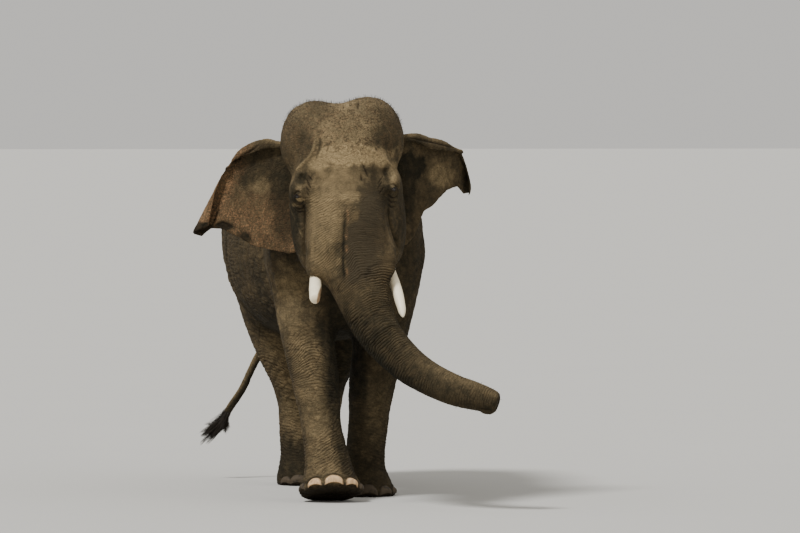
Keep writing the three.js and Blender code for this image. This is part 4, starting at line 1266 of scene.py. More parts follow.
# Patches of paler or darker hide: whether they are on an ear, their middle and half size in metres to
# the left of the forelegs' middle and up from the floor, as seen from ahead, and their strength.
# The pale patches are mostly painted light where the brow, forehead, trunk and ears face the light,
# and partly paler hide.
PALE_PATCHES = {
    "brow": (False, 0.08, 2.42, 0.27, 0.085, 1.5),
    "right brow": (False, -0.17, 2.36, 0.09, 0.07, 0.8),
    "forehead": (False, 0.02, 2.60, 0.24, 0.15, 0.65),
    "crown": (False, -0.02, 2.77, 0.11, 0.05, 0.9),
    "bridge": (False, -0.02, 2.24, 0.20, 0.14, 0.65),
    "right of the trunk": (False, -0.14, 1.98, 0.14, 0.32, 0.42),
    "lid below the right eye": (False, -0.303, 2.113, 0.026, 0.012, 2.4),
    "bags under the right eye": (False, -0.345, 2.075, 0.030, 0.018, 0.7),
    "beside the left eye": (False, 0.33, 2.30, 0.04, 0.10, 0.6),
    "right shoulder": (False, -0.40, 1.40, 0.12, 0.30, 0.34),
    "right ear's upper face": (True, -0.60, 2.21, 0.07, 0.07, 0.3),
    "left ear's lit face": (True, 0.66, 2.28, 0.10, 0.10, 0.60),
}
# The dark patches are mostly painted shade in the temples, eye hollows and cheeks, under and inside the ears
# and in the right ear's rolled mouth, and partly darker hide on the crown and forehead.
DARK_PATCHES = {
    "right cheek": (False, -0.365, 1.90, 0.10, 0.33, 0.95),
    "right temple": (False, -0.28, 2.48, 0.075, 0.15, 0.46),
    "left temple": (False, 0.24, 2.53, 0.11, 0.09, 0.44),
    "left cheek": (False, 0.42, 1.95, 0.07, 0.32, 0.75),
    "right eye's hollow": (False, -0.305, 2.245, 0.045, 0.050, 0.85),
    "right eye": (False, -0.335, 2.160, 0.035, 0.030, 0.75),
    "left eye's hollow": (False, 0.300, 2.30, 0.040, 0.065, 0.85),
    "left eye": (False, 0.325, 2.20, 0.040, 0.030, 0.60),
    "crown's right dome": (False, -0.18, 2.74, 0.12, 0.10, 0.45),
    "crown's left side": (False, 0.28, 2.66, 0.12, 0.12, 0.45),
    "forehead's middle": (False, 0.00, 2.63, 0.12, 0.10, 0.35),
    "right ear's mouth": (True, -0.995, 1.895, 0.085, 0.055, 2.5),
    "right ear's second hollow": (True, -0.850, 1.925, 0.065, 0.030, 1.6),
    "right ear's lower edge": (True, -0.695, 1.835, 0.050, 0.055, 1.0),
    "right ear's upper face": (True, -0.60, 2.34, 0.28, 0.16, 0.60),
    "right ear's root": (True, -0.42, 2.10, 0.13, 0.42, 0.75),
    "right ear's crest": (True, -0.62, 2.48, 0.17, 0.07, 0.55),
    "left ear's hollow": (True, 0.47, 2.34, 0.13, 0.11, 1.5),
    "left ear's root": (True, 0.44, 2.15, 0.08, 0.30, 0.9),
    "left ear's roll": (True, 0.85, 2.27, 0.04, 0.16, 0.9),
    "left ear": (True, 0.60, 2.20, 0.45, 0.45, 0.45),
}


def patched(lay, patches, blots):
    """How fully each point of the front lies in any of the patches."""
    across, back, z = lay.faced.T
    found = np.zeros(len(z))
    for on_ear, x, up, half_width, half_height, amount in patches.values():
        carrier = lay.ear if on_ear else (1 - lay.ear) * (back < -0.10)
        share = hump(across, x, half_width) * hump(z, up, half_height)
        found = np.maximum(found, carrier * amount * ease(share + 0.38 * blots, 0.15, 0.80))
    return found


def bare_streak(lay, blots):
    """The bare streak down the face beside the wet hide, and the dark seam beside it."""
    across, back, z = lay.faced.T
    wave = 0.008 * lay.clouds(12, 65) + 0.008 * blots
    front = (back < -0.9) * ease(z, 1.54, 1.62) * (1 - ease(z, 2.02, 2.07))
    streak = hump(across + wave, 0.016, 0.010) * front
    streak = streak * ease(lay.clouds(28, 63) + 0.5 * lay.clouds(9, 66), -0.30, 0.30)
    seam = hump(across + wave, -0.004, 0.014) * front
    return streak, seam * ease(lay.clouds(20, 67) + 0.4, -0.3, 0.4) * (1 - streak)


def bare_ears(lay, blots):
    """The lower face and outer rim of the right ear, and a trace on the left one."""
    across, _, z = lay.faced.T
    low = 1 - ease(z + 0.10 * blots, 1.98, 2.20)
    rim = ease(-across + 0.05 * blots + 0.45 * (z - 2.1), 0.78, 0.86)
    return lay.ear * np.where(across < 0, np.maximum(0.72 * low, rim), low * 0.05)


def wet_face(lay, blots):
    """The wet hide on the left of the trunk's root."""
    across, back, z = lay.faced.T
    border = 0.085 - 0.100 * (1 - ease(z, 1.90, 2.02)) + 0.030 * blots
    wide = ease(across, border, border + 0.035) * (1 - ease(across + 0.06 * blots, 0.18, 0.30))
    tall = (1 - ease(z + 0.08 * blots, 2.12, 2.26)) * ease(z + 0.10 * blots, 1.50, 1.66)
    return wide * tall * (back < -0.8)


def body_shade(lay, normals, blots):
    """Painted shade on the flanks, under the belly and under the trunk, and the trunk darker along its
    length.
    """
    _, y, z = lay.q.T
    flank = ease(y, 0.15, 0.45) * ease(z, 0.95, 1.2) * (1 - ease(z + 0.2 * blots, 1.9, 2.35)) * 0.34
    belly = (1 - ease(normals[:, 2], -0.80, -0.20)) * ease(y, -0.3, 0.1) * ease(z, 0.95, 1.15) * 0.85
    dull = np.interp(lay.gone, [1.05, 1.25, 1.50, 1.85, 2.10], [0, 0.50, 0.78, 0.70, 0.45])
    trunk = lay.trunk * dull * (1 + 0.5 * (1 - ease(normals[:, 2], -0.7, 0.1)))
    return np.max([flank, belly, trunk], axis=0)


def neck_shade(lay):
    """Painted shade behind the ears and under the throat."""
    across, back, z = lay.faced.T
    neck = (1 - lay.ear) * ease(back, -0.45, -0.20) * (1 - ease(back, 0.1, 0.3)) * (1 - ease(z, 2.0, 2.35))
    return 0.65 * neck * np.maximum(ease(across, -0.26, -0.16), ease(z, 1.55, 1.75)) * ease(z, 1.25, 1.55)


def limb_shades(lay, normals, dark_low_feet):
    """Painted shade between and inside the legs, on the left foreleg, in the trunk's end and on the tail's
    shaded side, and darker hide on the low feet and round the nails.
    """
    across, back, z = lay.faced.T
    x, y, _ = lay.q.T
    under = ease(across, -0.22, -0.10) * (1 - ease(across, 0.12, 0.22)) * (1 - ease(z, 1.50, 1.65))
    yield under * ease(z, 0.55, 0.72) * ease(back, -0.95, -0.75) * (1 - lay.trunk)
    inner = ease(-normals[:, 0] * np.sign(x), 0.05, 0.5) * (1 - ease(z, 1.5, 1.7)) * ease(back, -0.85, -0.6)
    yield 0.80 * inner
    left_foreleg = ease(x, -0.02, 0.05) * (1 - ease(y, 0.6, 0.9)) * (1 - ease(z, 1.4, 1.7))
    yield 0.62 * left_foreleg * ease(y, -0.4, -0.2)
    yield 0.80 * dark_low_feet
    yield 0.75 * hump(lay.nail_gap, 0.012, 0.010)
    tip = lay.gone.max()
    yield 0.80 * lay.trunk * ease(lay.gone, tip - 0.030, tip - 0.008)
    yield 0.85 * lay.tail * ease(0.6 * normals[:, 0] - z + 0.75, -0.3, 0.1)


def masks(lay, normals):
    """Shares of bare pink, wet and rough hide, of dusted hide with painted light, and of painted shade with
    darker hide.
    """
    _, back, z = lay.faced.T
    blots = lay.clouds(9, 61) * 0.5 + lay.clouds(23, 62) * 0.35 + lay.clouds(55, 64) * 0.25
    streak, seam = bare_streak(lay, blots)
    wet = wet_face(lay, blots)
    dark_low_feet = ease(lay.q[:, 1], -0.2, 0.0) * (1 - ease(z + 0.08 * blots, 0.24, 0.42))
    pale = patched(lay, PALE_PATCHES, blots) * (1 - wet)
    # Paler on top with dusted hide and painted light from above, and on the legs' fronts with dusted hide.
    on_top = 0.42 * ease(normals[:, 2], 0.15, 0.9) * (1 - lay.leg)
    ahead = 0.36 * lay.leg * ease(-normals[:, 1], 0.1, 0.9)
    dust_and_light = np.max([on_top, ahead, pale], axis=0) * (1 - 0.8 * dark_low_feet)
    dark = patched(lay, DARK_PATCHES, blots) * (1 - np.clip(0.5 * pale, 0, 0.8))
    # Painted shade, and darker hide in a few patches.
    shade = np.maximum(body_shade(lay, normals, blots), dark) * (1 - 0.6 * wet)
    shade = np.maximum(shade, neck_shade(lay))
    for more in (*limb_shades(lay, normals, dark_low_feet), seam):
        shade = np.maximum(shade, more * (1 - lay.ear))
    rough = (1 - lay.ear) * (back < -0.2) * ease(z, 2.30, 2.50)
    pink = np.maximum(bare_ears(lay, blots), streak)
    values = {"pink": pink, "wet": wet, "dust_and_light": dust_and_light, "shade": shade, "rough": rough}
    return {name: np.clip(value, 0, 1) for name, value in values.items()}


def put(mesh, name, values):
    """Stores values on the points of a mesh, for its material."""
    kind = "FLOAT" if values.ndim == 1 else "FLOAT_VECTOR"
    made = mesh.attributes.new(name, kind, "POINT")
    made.data.foreach_set("value" if values.ndim == 1 else "vector", values.astype(np.float32).ravel())


def finished(obj, material, node_names):
    """Gives a piece its material, a smooth surface and its place in the frame."""
    obj.data.materials.clear()
    obj.data.materials.append(material)
    obj.data.shade_smooth()
    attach(obj, "root")
    if node_names:
        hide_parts(*node_names)


def build_skin(context):
    """One skin over the flesh and ears, with its forms, folds and lids, and what its colours need."""
    sizes = context.scene.elephant_skin
    flesh = soft_flesh(sizes)
    ears = soft_ears(sizes, flesh)
    strokes = list(form_strokes(flesh, ears))
    refined(flesh)
    skin = united(flesh, ears)
    skin.name = "skin"
    skin.data.name = "skin"
    shape = Shape(skin.data)
    shape.places = shape.spread(shape.places, 2, 0.5)
    shape.write(skin.data)
    normals = normals_of(skin.data)
    lay = Lay(shape.places)
    height, groove, phase, rings = folds(lay, sizes, normals)
    shares = masks(lay, normals)
    for chain, width, rise, is_line, on_ear in strokes:
        if len(chain) < 2:
            continue
        near, share = pressed(lay.q, chain, width)
        share = share * (lay.ear[near] if on_ear else 1 - lay.ear[near])
        height[near] += share * rise
        if is_line:
            groove[near] = np.maximum(groove[near], share)
        # A narrow ridge gets painted light and a narrow trough painted shade.
        elif width < NARROW:
            tinted = shares["dust_and_light" if rise > 0 else "shade"]
            tinted[near] = np.maximum(tinted[near], share * 0.9)
    height += round_eyes(lay)
    q = lay.q + normals * height[:, None]
    lids = seat_lids(q)
    q[:, 2] = np.maximum(q[:, 2], 0.0)
    shape.places = q + ORIGIN
    shape.write(skin.data)
    shares |= {"lie": lay.lie(), "groove": np.maximum(groove, lids), "phase": phase, "rings": rings}
    for name, values in shares.items():
        put(skin.data, name, values)
    finished(skin, hide_material(context.scene.elephant_colours), [*FLESH, *EARS])


# ---------------------------------------------------------------- eyes, tusks and toenails


# How far the clear front of an eyeball stands out, as a share of its radius, and how wide it is
CORNEA = {"height": 0.05, "half_angle": 0.55}
# The angle from the middle of the pupil where the eye's colours end
COLOURED = 1.2


def build_eyes(context):
    """The eyeballs, each with a bulging clear front over its iris."""
    material = eye_material(context.scene.elephant_colours)
    for side in SIDES:
        centre, radius, out = eye_seat(side)[:3]
        made = bmesh.new()
        bmesh.ops.create_uvsphere(made, u_segments=56, v_segments=40, radius=radius)
        mesh = bpy.data.meshes.new(f"eyeball_{side}")
        made.to_mesh(mesh)
        made.free()
        turn = np.array(Vector(UP).rotation_difference(Vector(out)).to_matrix())
        shape = Shape(mesh)
        angle = np.arccos(np.clip(shape.places[:, 2] / radius, -1, 1))
        bulge = 1 + CORNEA["height"] * np.exp(-((angle / CORNEA["half_angle"]) ** 4))
        shape.places = (shape.places * bulge[:, None]) @ turn.T + centre
        shape.write(mesh)
        put(mesh, "from_pupil", np.clip(angle / COLOURED, 0, 1))
        finished(placed(f"eyeball_{side}", mesh), material, [f"eye_{side}"])


# The middle of each tusk from inside its sheath to its tip, to the left of the forelegs' middle, behind
# it and up as the head faces, with the tusk's radius
TUSKS = {
    "right": [
        (-0.212, -1.010, 1.668, 0.034),
        (-0.203, -1.090, 1.594, 0.036),
        (-0.200, -1.230, 1.510, 0.043),
        (-0.198, -1.345, 1.452, 0.040),
        (-0.198, -1.396, 1.436, 0.036),
    ],
    "left": [
        (0.276, -0.930, 1.720, 0.042),
        (0.302, -1.010, 1.636, 0.041),
        (0.353, -1.130, 1.505, 0.038),
        (0.385, -1.230, 1.393, 0.031),
        (0.400, -1.294, 1.312, 0.018),
    ],
}
# Over what length each tip rounds off, and the way that the worn facet faces
TUSK_ENDS = {"right": (0.034, (0.98, -0.10, -0.13)), "left": (0.060, (-0.60, -0.30, -0.75))}
# The facet's plane past the end of the tusk's middle, and the share of what is outside it that is worn off
FACET = {"past": 0.010, "worn": 0.30}
TUSK_RINGS = 110
TUSK_SIDES = 56


def build_tusks(context):
    """The tusks, with worn ends."""
    material = ivory_material(context.scene.elephant_colours)
    random = np.random.default_rng(5)
    for side, knots in TUSKS.items():
        cap, facing = TUSK_ENDS[side]
        line = flowing(knots, 24)
        gone = way_gone(line[:, :3])
        steps = gone[-1] * (1 - np.linspace(1, 0, TUSK_RINGS) ** 1.7)
        line = at_ways(steps, gone, line)
        left = np.clip((gone[-1] - steps) / cap, 0, 1)
        radii = line[:, 3] * np.sqrt(np.clip(1 - (1 - left) ** 2, 0.0004, 1))
        chain = line[:, :3] @ HEAD + ORIGIN
        mesh = tube_mesh(f"ivory_{side}", chain, radii, TUSK_SIDES)
        shape = Shape(mesh)
        face = unit(np.array(facing) @ HEAD)
        from_end = np.linalg.norm(shape.places - chain[-1], axis=1)
        over = (shape.places - chain[-1]) @ face - FACET["past"]
        shape.places -= np.outer(np.clip(over, 0, None) * FACET["worn"], face)
        dents = clouds(shape.places * 38, int(random.integers(1, 99))) * 0.0009
        shape.places += normals_of(mesh) * dents[:, None]
        shape.write(mesh)
        facet = ease(over, -0.003, 0.003) * (1 - ease(from_end, 0.22, 0.30))
        blunt = 0.35 * (1 - ease(from_end, 0.022, 0.048))
        root = 0.35 * ease(from_end, 0.24, 0.36)
        shares = [facet, blunt, root] if side == "right" else [0.4 * facet, root]
        put(mesh, "worn", np.clip(np.max(shares, axis=0), 0, 1))
        finished(placed(f"ivory_{side}", mesh), material, [f"tusk_{side}"])


NAIL_GRID = (15, 35)  # points up and across a toenail
NAIL_START = 0.32  # how far from the foot's middle the search for its skin starts
NAIL_ROOT = 0.012  # how deep in the flesh a toenail's back lies
NAIL_RIM = 0.002  # how deep in the flesh its front starts at the rim


def nail_sheets(foot, heading, size, skin):
    """The front and back of a toenail as grids of points, and how near its rim each point is."""
    rows, columns = NAIL_GRID
    up_share, aside = np.meshgrid(np.linspace(0, 1, rows), np.linspace(-1, 1, columns), indexing="ij")
    arch = NAIL["arch"] * size * (1 - aside**2)
    rise = NAIL["tall"] * size * np.sqrt(np.clip(1 - np.abs(aside) ** 2.6, 0, 1))
    up = NAIL["low"] + arch + (np.maximum(rise, arch) - arch) * up_share
    way = foot.ahead(heading + aside * NAIL["half_width"] * size / foot.shape["radius"])
    lift = up[..., None] * UP
    starts = foot.world(way * NAIL_START + lift)
    inward = -way @ foot.turn.T
    found = np.full((rows, columns), np.nan)
    for r in range(rows):
        for c in range(columns):
            hit = skin.ray_cast(Vector(starts[r, c] + ORIGIN), Vector(inward[r, c]), NAIL_START)
            if hit[0] is not None:
                found[r, c] = NAIL_START - hit[3]
    found = np.where(np.isnan(found), np.nanmedian(found), found)
    for _ in range(8):
        wide = np.pad(found, 1, mode="edge")
        found = (wide[1:-1, :-2] + wide[1:-1, 2:] + wide[:-2, 1:-1] + wide[2:, 1:-1] + 2 * found) / 6
    crown = np.sqrt(np.clip(1 - aside**4, 0, 1)) * np.sqrt(np.clip(1 - up_share**3, 0, 1))
    front = way * (found + NAIL["thick"] * size * crown - NAIL_RIM)[..., None] + lift
    back = way * (found - NAIL_ROOT)[..., None] + lift
    rim = np.maximum(ease(np.abs(aside), 0.72, 1.0), ease(up_share, 0.80, 1.0))
    return foot.world(front) + ORIGIN, foot.world(back) + ORIGIN, rim


def build_nails(context):
    """The toenails, let into the front of each foot."""
    skin = BVHTree.FromObject(bpy.data.objects["skin"], context.evaluated_depsgraph_get())
    points, faces, rims = [], [], []
    for name in FEET:
        foot = Foot(name)
        for heading, size in foot.nails():
            front, back, rim = nail_sheets(foot, heading, size, skin)
            faces.extend(plate(*NAIL_GRID, len(points)))
            points.extend([*front.reshape(-1, 3), *back.reshape(-1, 3)])
            # Only the lifted forefoot's middle nails keep their colour; every other nail is nearly all
            # painted shade.
            nail_in_light = name == "forefoot_right" and abs(heading) < 1.0
            rims.extend([rim.ravel() if nail_in_light else np.maximum(rim.ravel(), 0.95), np.ones(rim.size)])
    mesh = mesh_of("toenails", points, faces)
    put(mesh, "rim", np.concatenate(rims))
    finished(placed("toenails", mesh), nail_material(context.scene.elephant_colours), [])


# ---------------------------------------------------------------- hair


TUFT_TIPS = (-0.750, 2.350, 0.282)  # where the tuft's locks end, from the forelegs' middle
TUFT_REACH = 0.125  # how far up the bone the tuft's long strands start
TUFT_SHORT = 0.22  # the share of the strands that are short and hang
LOCKS = 26


def build_tuft(context):
    """The tail's tuft: long strands in locks that run on along the bone, and short ones that hang."""
    look = context.scene.elephant_hair
    random = np.random.default_rng(17)
    chain, radii = tail_bone()
    gone = way_gone(chain)
    count = look.tuft_strands
    lock = random.integers(0, LOCKS, count)
    short = random.random(count) < TUFT_SHORT
    back = np.where(short, 0.05, TUFT_REACH) * random.random(count) ** 0.8
    at = gone[-1] - back
    radius = np.interp(at, gone, radii)
    place, way, side, other = (at_ways(at, gone, values) for values in (chain, *ways_along(chain)))
    turn = 2 * math.pi * random.random(count)
    out = np.cos(turn)[:, None] * side + np.sin(turn)[:, None] * other
    roots = place + out * (radius * 0.85)[:, None]
    size = 0.75 + 0.35 * random.random(LOCKS)[lock]
    loose = (random.random((LOCKS, 3)) - 0.5) * [0.10, 0.06, 0.10]
    shy = 0.11 * random.random(LOCKS)[lock] ** 1.5
    stray = (random.random((count, 3)) - 0.5) * 0.010
    bends = roots + way * ((0.09 + 0.8 * back) * size)[:, None] + out * 0.012 + loose[lock] * 0.6
    tips = np.array(TUFT_TIPS) + ORIGIN + loose[lock] + stray
    tips -= way * (shy + random.random(count) ** 3 * 0.05)[:, None]
    hang = roots + [0.012, 0.0, -0.085] + stray * 1.5 - [0.0, 0.0, 0.03] * random.random((count, 1))
    tips = np.where(short[:, None], hang, tips)
    bends = np.where(short[:, None], roots + way * 0.022 + out * 0.010 - [0, 0, 0.03], bends)
    paths = bowed(roots, bends, tips, 9)
    paths[:, 1:-1] += (random.random((count, 7, 3)) - 0.5) * 0.006
    width = look.tuft_width * (0.35 + 0.65 * random.random(count))
    seats = 0.05 + 0.9 * np.stack([turn / (2 * math.pi), 1 - back / TUFT_REACH], axis=1)
    mesh = strand_mesh("tail_hair", paths, width, width * 0.35, out, seats)
    finished(placed("tail_hair", mesh), hair_material(context.scene.elephant_colours), ["tail_tuft"])


def bristle_beds(q, normals):
    """Where bristles grow, as densities, with their share of all, their length and the way they lie."""
    across, back, z = faced(q).T
    x, y = q[:, 0], q[:, 1]
    clear = np.abs(across) < 0.42
    crown = ease(z, 2.55, 2.72) * (back < -0.10) * (normals[:, 2] > 0.1)
    face = 0.25 * ease(z, 2.2, 2.5) * (back < -0.5) * clear
    spine = ease(z, 2.45, 2.60) * (y > -0.3) * (normals[:, 2] > 0.6) * 0.8
    chin = (z > 1.45) * (z < 1.72) * (back > -0.98) * (back < -0.60) * (normals[:, 2] < -0.2) * 2.5
    tip = (z > 0.66) * (z < 0.95) * (x > 0.50) * (y < -1.5) * 0.8
    yield crown + face, 0.55, 0.024, (0.0, 0.55, 0.35)
    yield spine, 0.30, 0.022, (0.0, 0.9, 0.1)
    yield chin, 0.09, 0.050, (0.0, -0.3, -0.8)
    yield tip, 0.06, 0.016, (0.5, -0.4, -0.4)


def unwrapped(points, centre):
    """Places by longitude and latitude about a centre, as an unwrap from 0 to 1."""
    away = unit(points - centre)
    longitude = np.arctan2(away[:, 0], -away[:, 1]) / (2 * math.pi) + 0.5
    latitude = np.arcsin(np.clip(away[:, 2], -1, 1)) / math.pi + 0.5
    return 0.02 + 0.96 * np.stack([longitude, latitude], axis=1)


LASHES = 34  # on each upper lid
LASH_LENGTH = 0.045


def lash_roots():
    """Where the eyelashes leave the upper lids, and the way that each points."""
    for side in SIDES:
        centre, radius, out, up, along = eye_seat(side)
        for share in np.linspace(-0.85, 0.9, LASHES):
            high = LID["half_height"] * radius * (1 - share**2) ** 0.8 + 0.005
            a = share * radius
            over = math.sqrt(max((radius + 0.004) ** 2 - a * a - high * high, 0))
            yield centre + along * a + up * high + out * over, out + 0.35 * along * share - 0.45 * up


def build_bristles(context):
    """Sparse bristles on the crown, back, chin and trunk's tip, and long eyelashes."""
    look = context.scene.elephant_hair
    random = np.random.default_rng(29)
    skin = bpy.data.objects["skin"]
    q = vertices_of(skin.data) - ORIGIN
    normals = normals_of(skin.data)
    fine = np.where(detail_zones(q)[0], 0.25, 1.0)
    roots, ways, lengths, lies = [], [], [], []
    for density, portion, size, lie in bristle_beds(q, normals):
        weight = density * fine
        count = int(look.bristles * portion)
        chosen = random.choice(len(q), count, p=weight / weight.sum())
        roots.extend(q[chosen] + ORIGIN - normals[chosen] * 0.002)
        ways.extend(normals[chosen])
        lengths.extend(size * (0.5 + 0.8 * random.random(count)))
        lies.extend(np.tile(lie, (count, 1)))
    for root, way in lash_roots():
        roots.append(root)
        ways.append(unit(way))
        lengths.append(LASH_LENGTH * (0.7 + 0.5 * random.random()))
        lies.append((0.0, -0.1, -0.6))
    roots, ways, lies = np.array(roots), np.array(ways), np.array(lies)
    lengths = np.array(lengths)[:, None]
    stray = (random.random((len(roots), 3)) - 0.5) * 0.8
    first = unit(ways + 0.35 * lies + 0.5 * stray)
    second = unit(0.5 * ways + lies + stray)
    bends = roots + first * lengths * 0.5
    paths = bowed(roots, bends, bends + second * lengths * 0.5, 5)
    width = np.full(len(roots), look.bristle_width) * (0.6 + 0.6 * random.random(len(roots)))
    flats = np.cross(first, [0.31, 0.22, 0.92])
    mesh = strand_mesh("bristles", paths, width, width, flats, unwrapped(roots, middle("head")))
    finished(placed("bristles", mesh), hair_material(context.scene.elephant_colours), [])


# ---------------------------------------------------------------- the stage


FLOOR_REACH = 400.0  # from the middle of the floor to its sides
SKY_STRENGTH = 0.75
SENSOR_WIDTH = 36.0  # in millimetres, as the lens is
FARTHEST = 500.0  # how far off the camera still sees things
# Name, strength, softness in degrees, and turn in degrees from shining straight down
LAMPS = [
    ("key", 3.6, 12.0, (38.0, 0.0, -50.0)),
    ("fill", 0.5, 60.0, (60.0, 0.0, 40.0)),
]


def build_camera(stage):
    """The camera, which looks along the way that the animal stands in, from the right of its middle."""
    side = Vector((math.cos(stage.turn), -math.sin(stage.turn), 0.0))
    ahead = Vector((math.sin(stage.turn), math.cos(stage.turn), 0.0))
    lens = bpy.data.cameras.new("camera")
    lens.sensor_fit = "HORIZONTAL"
    lens.sensor_width = SENSOR_WIDTH
    lens.lens = stage.lens
    lens.clip_end = FARTHEST
    camera = placed("camera", lens)
    standing = Vector(ORIGIN) + side * stage.aside - ahead * stage.distance
    camera.location = standing + Vector(UP) * stage.height
    camera.rotation_euler = (math.pi / 2 - stage.pitch, 0.0, -stage.turn)
    return camera


def build_floor(stage):
    """A wide pale floor."""
    corner_ways = np.array([(-1, -1, 0), (1, -1, 0), (1, 1, 0), (-1, 1, 0)])
    mesh = mesh_of("floor", FLOOR_REACH * corner_ways, [(0, 1, 2, 3)])
    tree = Tree("studio_floor")
    tone = tree.noise(tree.place(), 0.6, 2.0)
    base = tree.mixed(tone, colour(stage.floor), colour([c * 0.97 for c in stage.floor]))
    mesh.materials.append(tree.shader(Base_Color=base, Roughness=0.9))
    placed("floor", mesh)


def build_light(stage):
    """Even light from all round, and two soft lamps; gives the world."""
    world = bpy.data.worlds.new("studio")
    world.use_nodes = True
    background = world.node_tree.nodes["Background"]
    background.inputs["Color"].default_value = colour(stage.sky)
    background.inputs["Strength"].default_value = SKY_STRENGTH
    for name, energy, spread, euler in LAMPS:
        lamp = bpy.data.lights.new(name, "SUN")
        lamp.energy = energy
        lamp.angle = math.radians(spread)
        placed(name, lamp).rotation_euler = [math.radians(v) for v in euler]
    return world


def build_stage(context):
    """The camera, the floor and the light."""
    stage = context.scene.elephant_stage
    context.scene.camera = build_camera(stage)
    build_floor(stage)
    context.scene.world = build_light(stage)


# ---------------------------------------------------------------- the settings


def length(name, description, default):
    return bpy.props.FloatProperty(
        name=name, description=description, default=default, min=0.0, unit="LENGTH", precision=4
    )


def angle(name, description, default):
    return bpy.props.FloatProperty(name=name, description=description, default=default, subtype="ANGLE")


def number(name, description, default):
    return bpy.props.IntProperty(name=name, description=description, default=default, min=1)


def paint(name, description, default):
    return bpy.props.FloatVectorProperty(
        name=name, description=description, default=default, size=3, subtype="COLOR", min=0.0, max=1.0
    )


class ElephantSkin(bpy.types.PropertyGroup):
    """Sizes of the skin and its folds."""

    cell: length("Cell", "Side of the skin's mesh cells", 0.0100)
    ear_cell: length("Ear cell", "Side of the ears' mesh cells", 0.0063)
    ear_smoothing: length("Ear smoothing", "How far the ears' facets are smoothed", 0.020)
    net_cell: length("Net cell", "Width of the larger cells that creases part the hide into", 0.060)
    net_depth: length("Net depth", "Depth of those creases", 0.0045)
    face_spacing: length("Face spacing", "Distance between the folds on the trunk's root", 0.0170)
    ring_spacing: length("Ring spacing", "Distance between the ring folds below the face", 0.0195)
    tip_spacing: length("Tip spacing", "Distance between the ring folds at the trunk's tip", 0.0185)
    ring_depth: length("Ring depth", "Height of the trunk's ring folds", 0.0068)
    leg_spacing: length("Leg spacing", "Distance between the folds across the legs", 0.022)
    leg_depth: length("Leg depth", "Height of the folds across the legs", 0.0070)
    flank_spacing: length("Flank spacing", "Distance between the folds along the flanks", 0.030)
    flank_depth: length("Flank depth", "Height of the folds along the flanks", 0.0060)


class ElephantColours(bpy.types.PropertyGroup):
    """Colours of the hide, ivory, nails, hair and eyes."""

    dark: paint("Dark hide", "Hide in its darker patches", (0.047, 0.037, 0.021))
    middle: paint("Hide", "Hide in its paler patches", (0.120, 0.086, 0.045))
    # Dusted hide, and painted light on the lit forehead, brow, tops and ridges.
    dust_and_light: paint("Dust", "Dust and painted light on the forehead and back", (0.400, 0.293, 0.152))
    wet: paint("Wet hide", "Hide that is dark with water", (0.054, 0.042, 0.025))
    pink: paint("Bare skin", "Hide that has lost its dark colour", (0.270, 0.150, 0.074))
    groove: paint("Grooves", "The bottoms of folds", (0.012, 0.009, 0.006))
    ivory: paint("Ivory", "Clean ivory", (0.975, 0.870, 0.640))
    ivory_shade: paint("Ivory grain", "Darker grain of the ivory", (0.880, 0.740, 0.500))
    ivory_stain: paint("Worn ivory", "Stained ivory where it is worn", (0.300, 0.190, 0.100))
    nail: paint("Nail", "Clean toenail", (0.620, 0.425, 0.235))
    # Painted shade in the bottoms of folds, creases and lines.
    nail_shade: paint("Nail grain", "Darker grain of the toenails", (0.440, 0.275, 0.145))
    # Dirt at the nails' rims, and painted shade on the shaded feet's nails.
    nail_dirt_and_shade: paint("Nail dirt", "Dirt at the rims of the toenails, and painted shade on the shaded feet's nails", (0.027, 0.021, 0.013))
    pink_shade: paint("Bare skin's shade", "Darker parts of the bare skin", (0.135, 0.084, 0.043))
    # Painted shade, and darker hide in a few patches.
    deep: paint("Dark patches", "Painted shade, and hide darkened by damp and dirt", (0.0125, 0.0115, 0.0068))
    hair: paint("Hair", "Bristles at their roots", (0.009, 0.007, 0.005))
    hair_tip: paint("Hair tips", "Bristles at their tips", (0.030, 0.022, 0.014))
    iris: paint("Iris", "Dark part of the iris", (0.016, 0.008, 0.004))
    iris_light: paint("Iris light", "Light part of the iris", (0.060, 0.030, 0.013))
    eye_white: paint("White of the eye", "The eyeball past the iris", (0.080, 0.055, 0.040))


class ElephantHair(bpy.types.PropertyGroup):
    """How much hair there is and how thick it is."""

    tuft_strands: number("Tuft strands", "Strands in the tail's tuft", 640)
    tuft_width: length("Tuft width", "Half the width of the tuft's widest strands", 0.0040)
    bristles: number("Bristles", "Bristles on the hide", 2600)
    bristle_width: length("Bristle width", "Half the width of a bristle", 0.0008)


class ElephantStage(bpy.types.PropertyGroup):
    """The camera, lamps and floor."""

    distance: length("Distance", "From the forelegs to the camera, over the floor", 45.0)
    height: length("Height", "The camera's height", 2.73)
    aside: length("Aside", "The camera's place to the right of the forelegs, across its view", 0.38)
    turn: angle("Turn", "The camera's turn about the animal", math.radians(8.0))
    pitch: angle("Pitch", "How far the camera looks down", math.radians(1.403))
    lens: bpy.props.FloatProperty(name="Lens", description="Focal length", default=287.55, unit="CAMERA")
    floor: paint("Floor", "Colour of the floor", (0.510, 0.500, 0.470))
    sky: paint("Surroundings", "Colour of the light all round", (0.87, 0.85, 0.81))


class ELEPHANT_OT_skin(bpy.types.Operator):
    """Build the skin over the flesh and ears"""

    bl_idname = "elephant.skin"
    bl_label = "Skin"

    def execute(self, context):
        build_skin(context)
        return {"FINISHED"}


class ELEPHANT_OT_eyes(bpy.types.Operator):
    """Build the eyeballs behind the lids"""

    bl_idname = "elephant.eyes"
    bl_label = "Eyes"

    def execute(self, context):
        build_eyes(context)
        return {"FINISHED"}


class ELEPHANT_OT_tusks(bpy.types.Operator):
    """Build the worn tusks"""

    bl_idname = "elephant.tusks"
    bl_label = "Tusks"

    def execute(self, context):
        build_tusks(context)
        return {"FINISHED"}


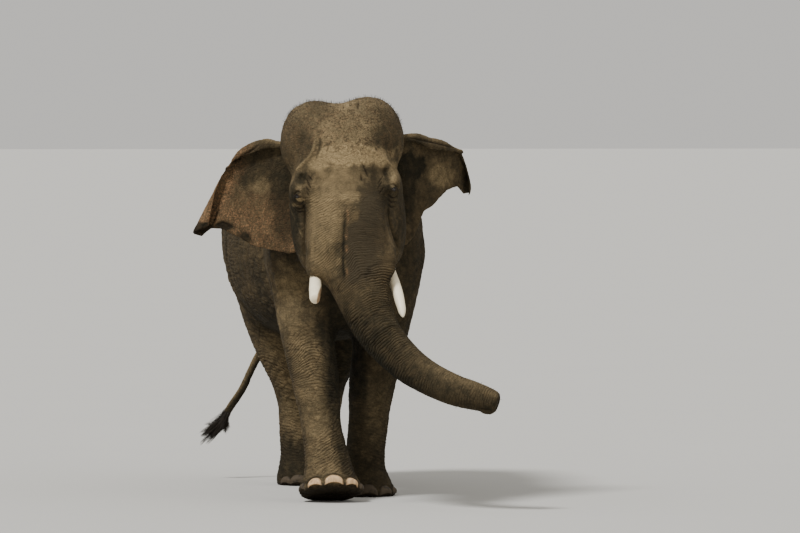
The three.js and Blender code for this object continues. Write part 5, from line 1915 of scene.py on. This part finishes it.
class ELEPHANT_OT_nails(bpy.types.Operator):
    """Build the toenails on the finished skin"""

    bl_idname = "elephant.nails"
    bl_label = "Toenails"

    def execute(self, context):
        build_nails(context)
        return {"FINISHED"}


class ELEPHANT_OT_tuft(bpy.types.Operator):
    """Build the hair at the end of the tail"""

    bl_idname = "elephant.tuft"
    bl_label = "Tail tuft"

    def execute(self, context):
        build_tuft(context)
        return {"FINISHED"}


class ELEPHANT_OT_bristles(bpy.types.Operator):
    """Build the bristles and eyelashes on the finished skin"""

    bl_idname = "elephant.bristles"
    bl_label = "Bristles"

    def execute(self, context):
        build_bristles(context)
        return {"FINISHED"}


class ELEPHANT_OT_stage(bpy.types.Operator):
    """Set up the camera, the floor and the studio light"""

    bl_idname = "elephant.stage"
    bl_label = "Stage"

    def execute(self, context):
        build_stage(context)
        return {"FINISHED"}


OPERATORS = [
    ELEPHANT_OT_stage,
    ELEPHANT_OT_skin,
    ELEPHANT_OT_eyes,
    ELEPHANT_OT_tusks,
    ELEPHANT_OT_nails,
    ELEPHANT_OT_tuft,
    ELEPHANT_OT_bristles,
]


class VIEW3D_PT_elephant(bpy.types.Panel):
    """Lists what builds the elephant."""

    bl_label = "Elephant"
    bl_space_type = "VIEW_3D"
    bl_region_type = "UI"
    bl_category = "Elephant"

    def draw(self, context):
        for operator in OPERATORS:
            self.layout.operator(operator.bl_idname)


GROUPS = {
    "elephant_skin": ElephantSkin,
    "elephant_colours": ElephantColours,
    "elephant_hair": ElephantHair,
    "elephant_stage": ElephantStage,
}
CLASSES = [*GROUPS.values(), *OPERATORS, VIEW3D_PT_elephant]


def register():
    for item in CLASSES:
        bpy.utils.register_class(item)
    for name, group in GROUPS.items():
        setattr(bpy.types.Scene, name, bpy.props.PointerProperty(type=group))


def unregister():
    for name in GROUPS:
        delattr(bpy.types.Scene, name)
    for item in reversed(CLASSES):
        bpy.utils.unregister_class(item)


def main():
    register()
    bpy.ops.elephant.stage()
    bpy.ops.elephant.skin()
    bpy.ops.elephant.eyes()
    bpy.ops.elephant.tusks()
    bpy.ops.elephant.nails()
    bpy.ops.elephant.tuft()
    bpy.ops.elephant.bristles()


if __name__ == "__main__":
    main()
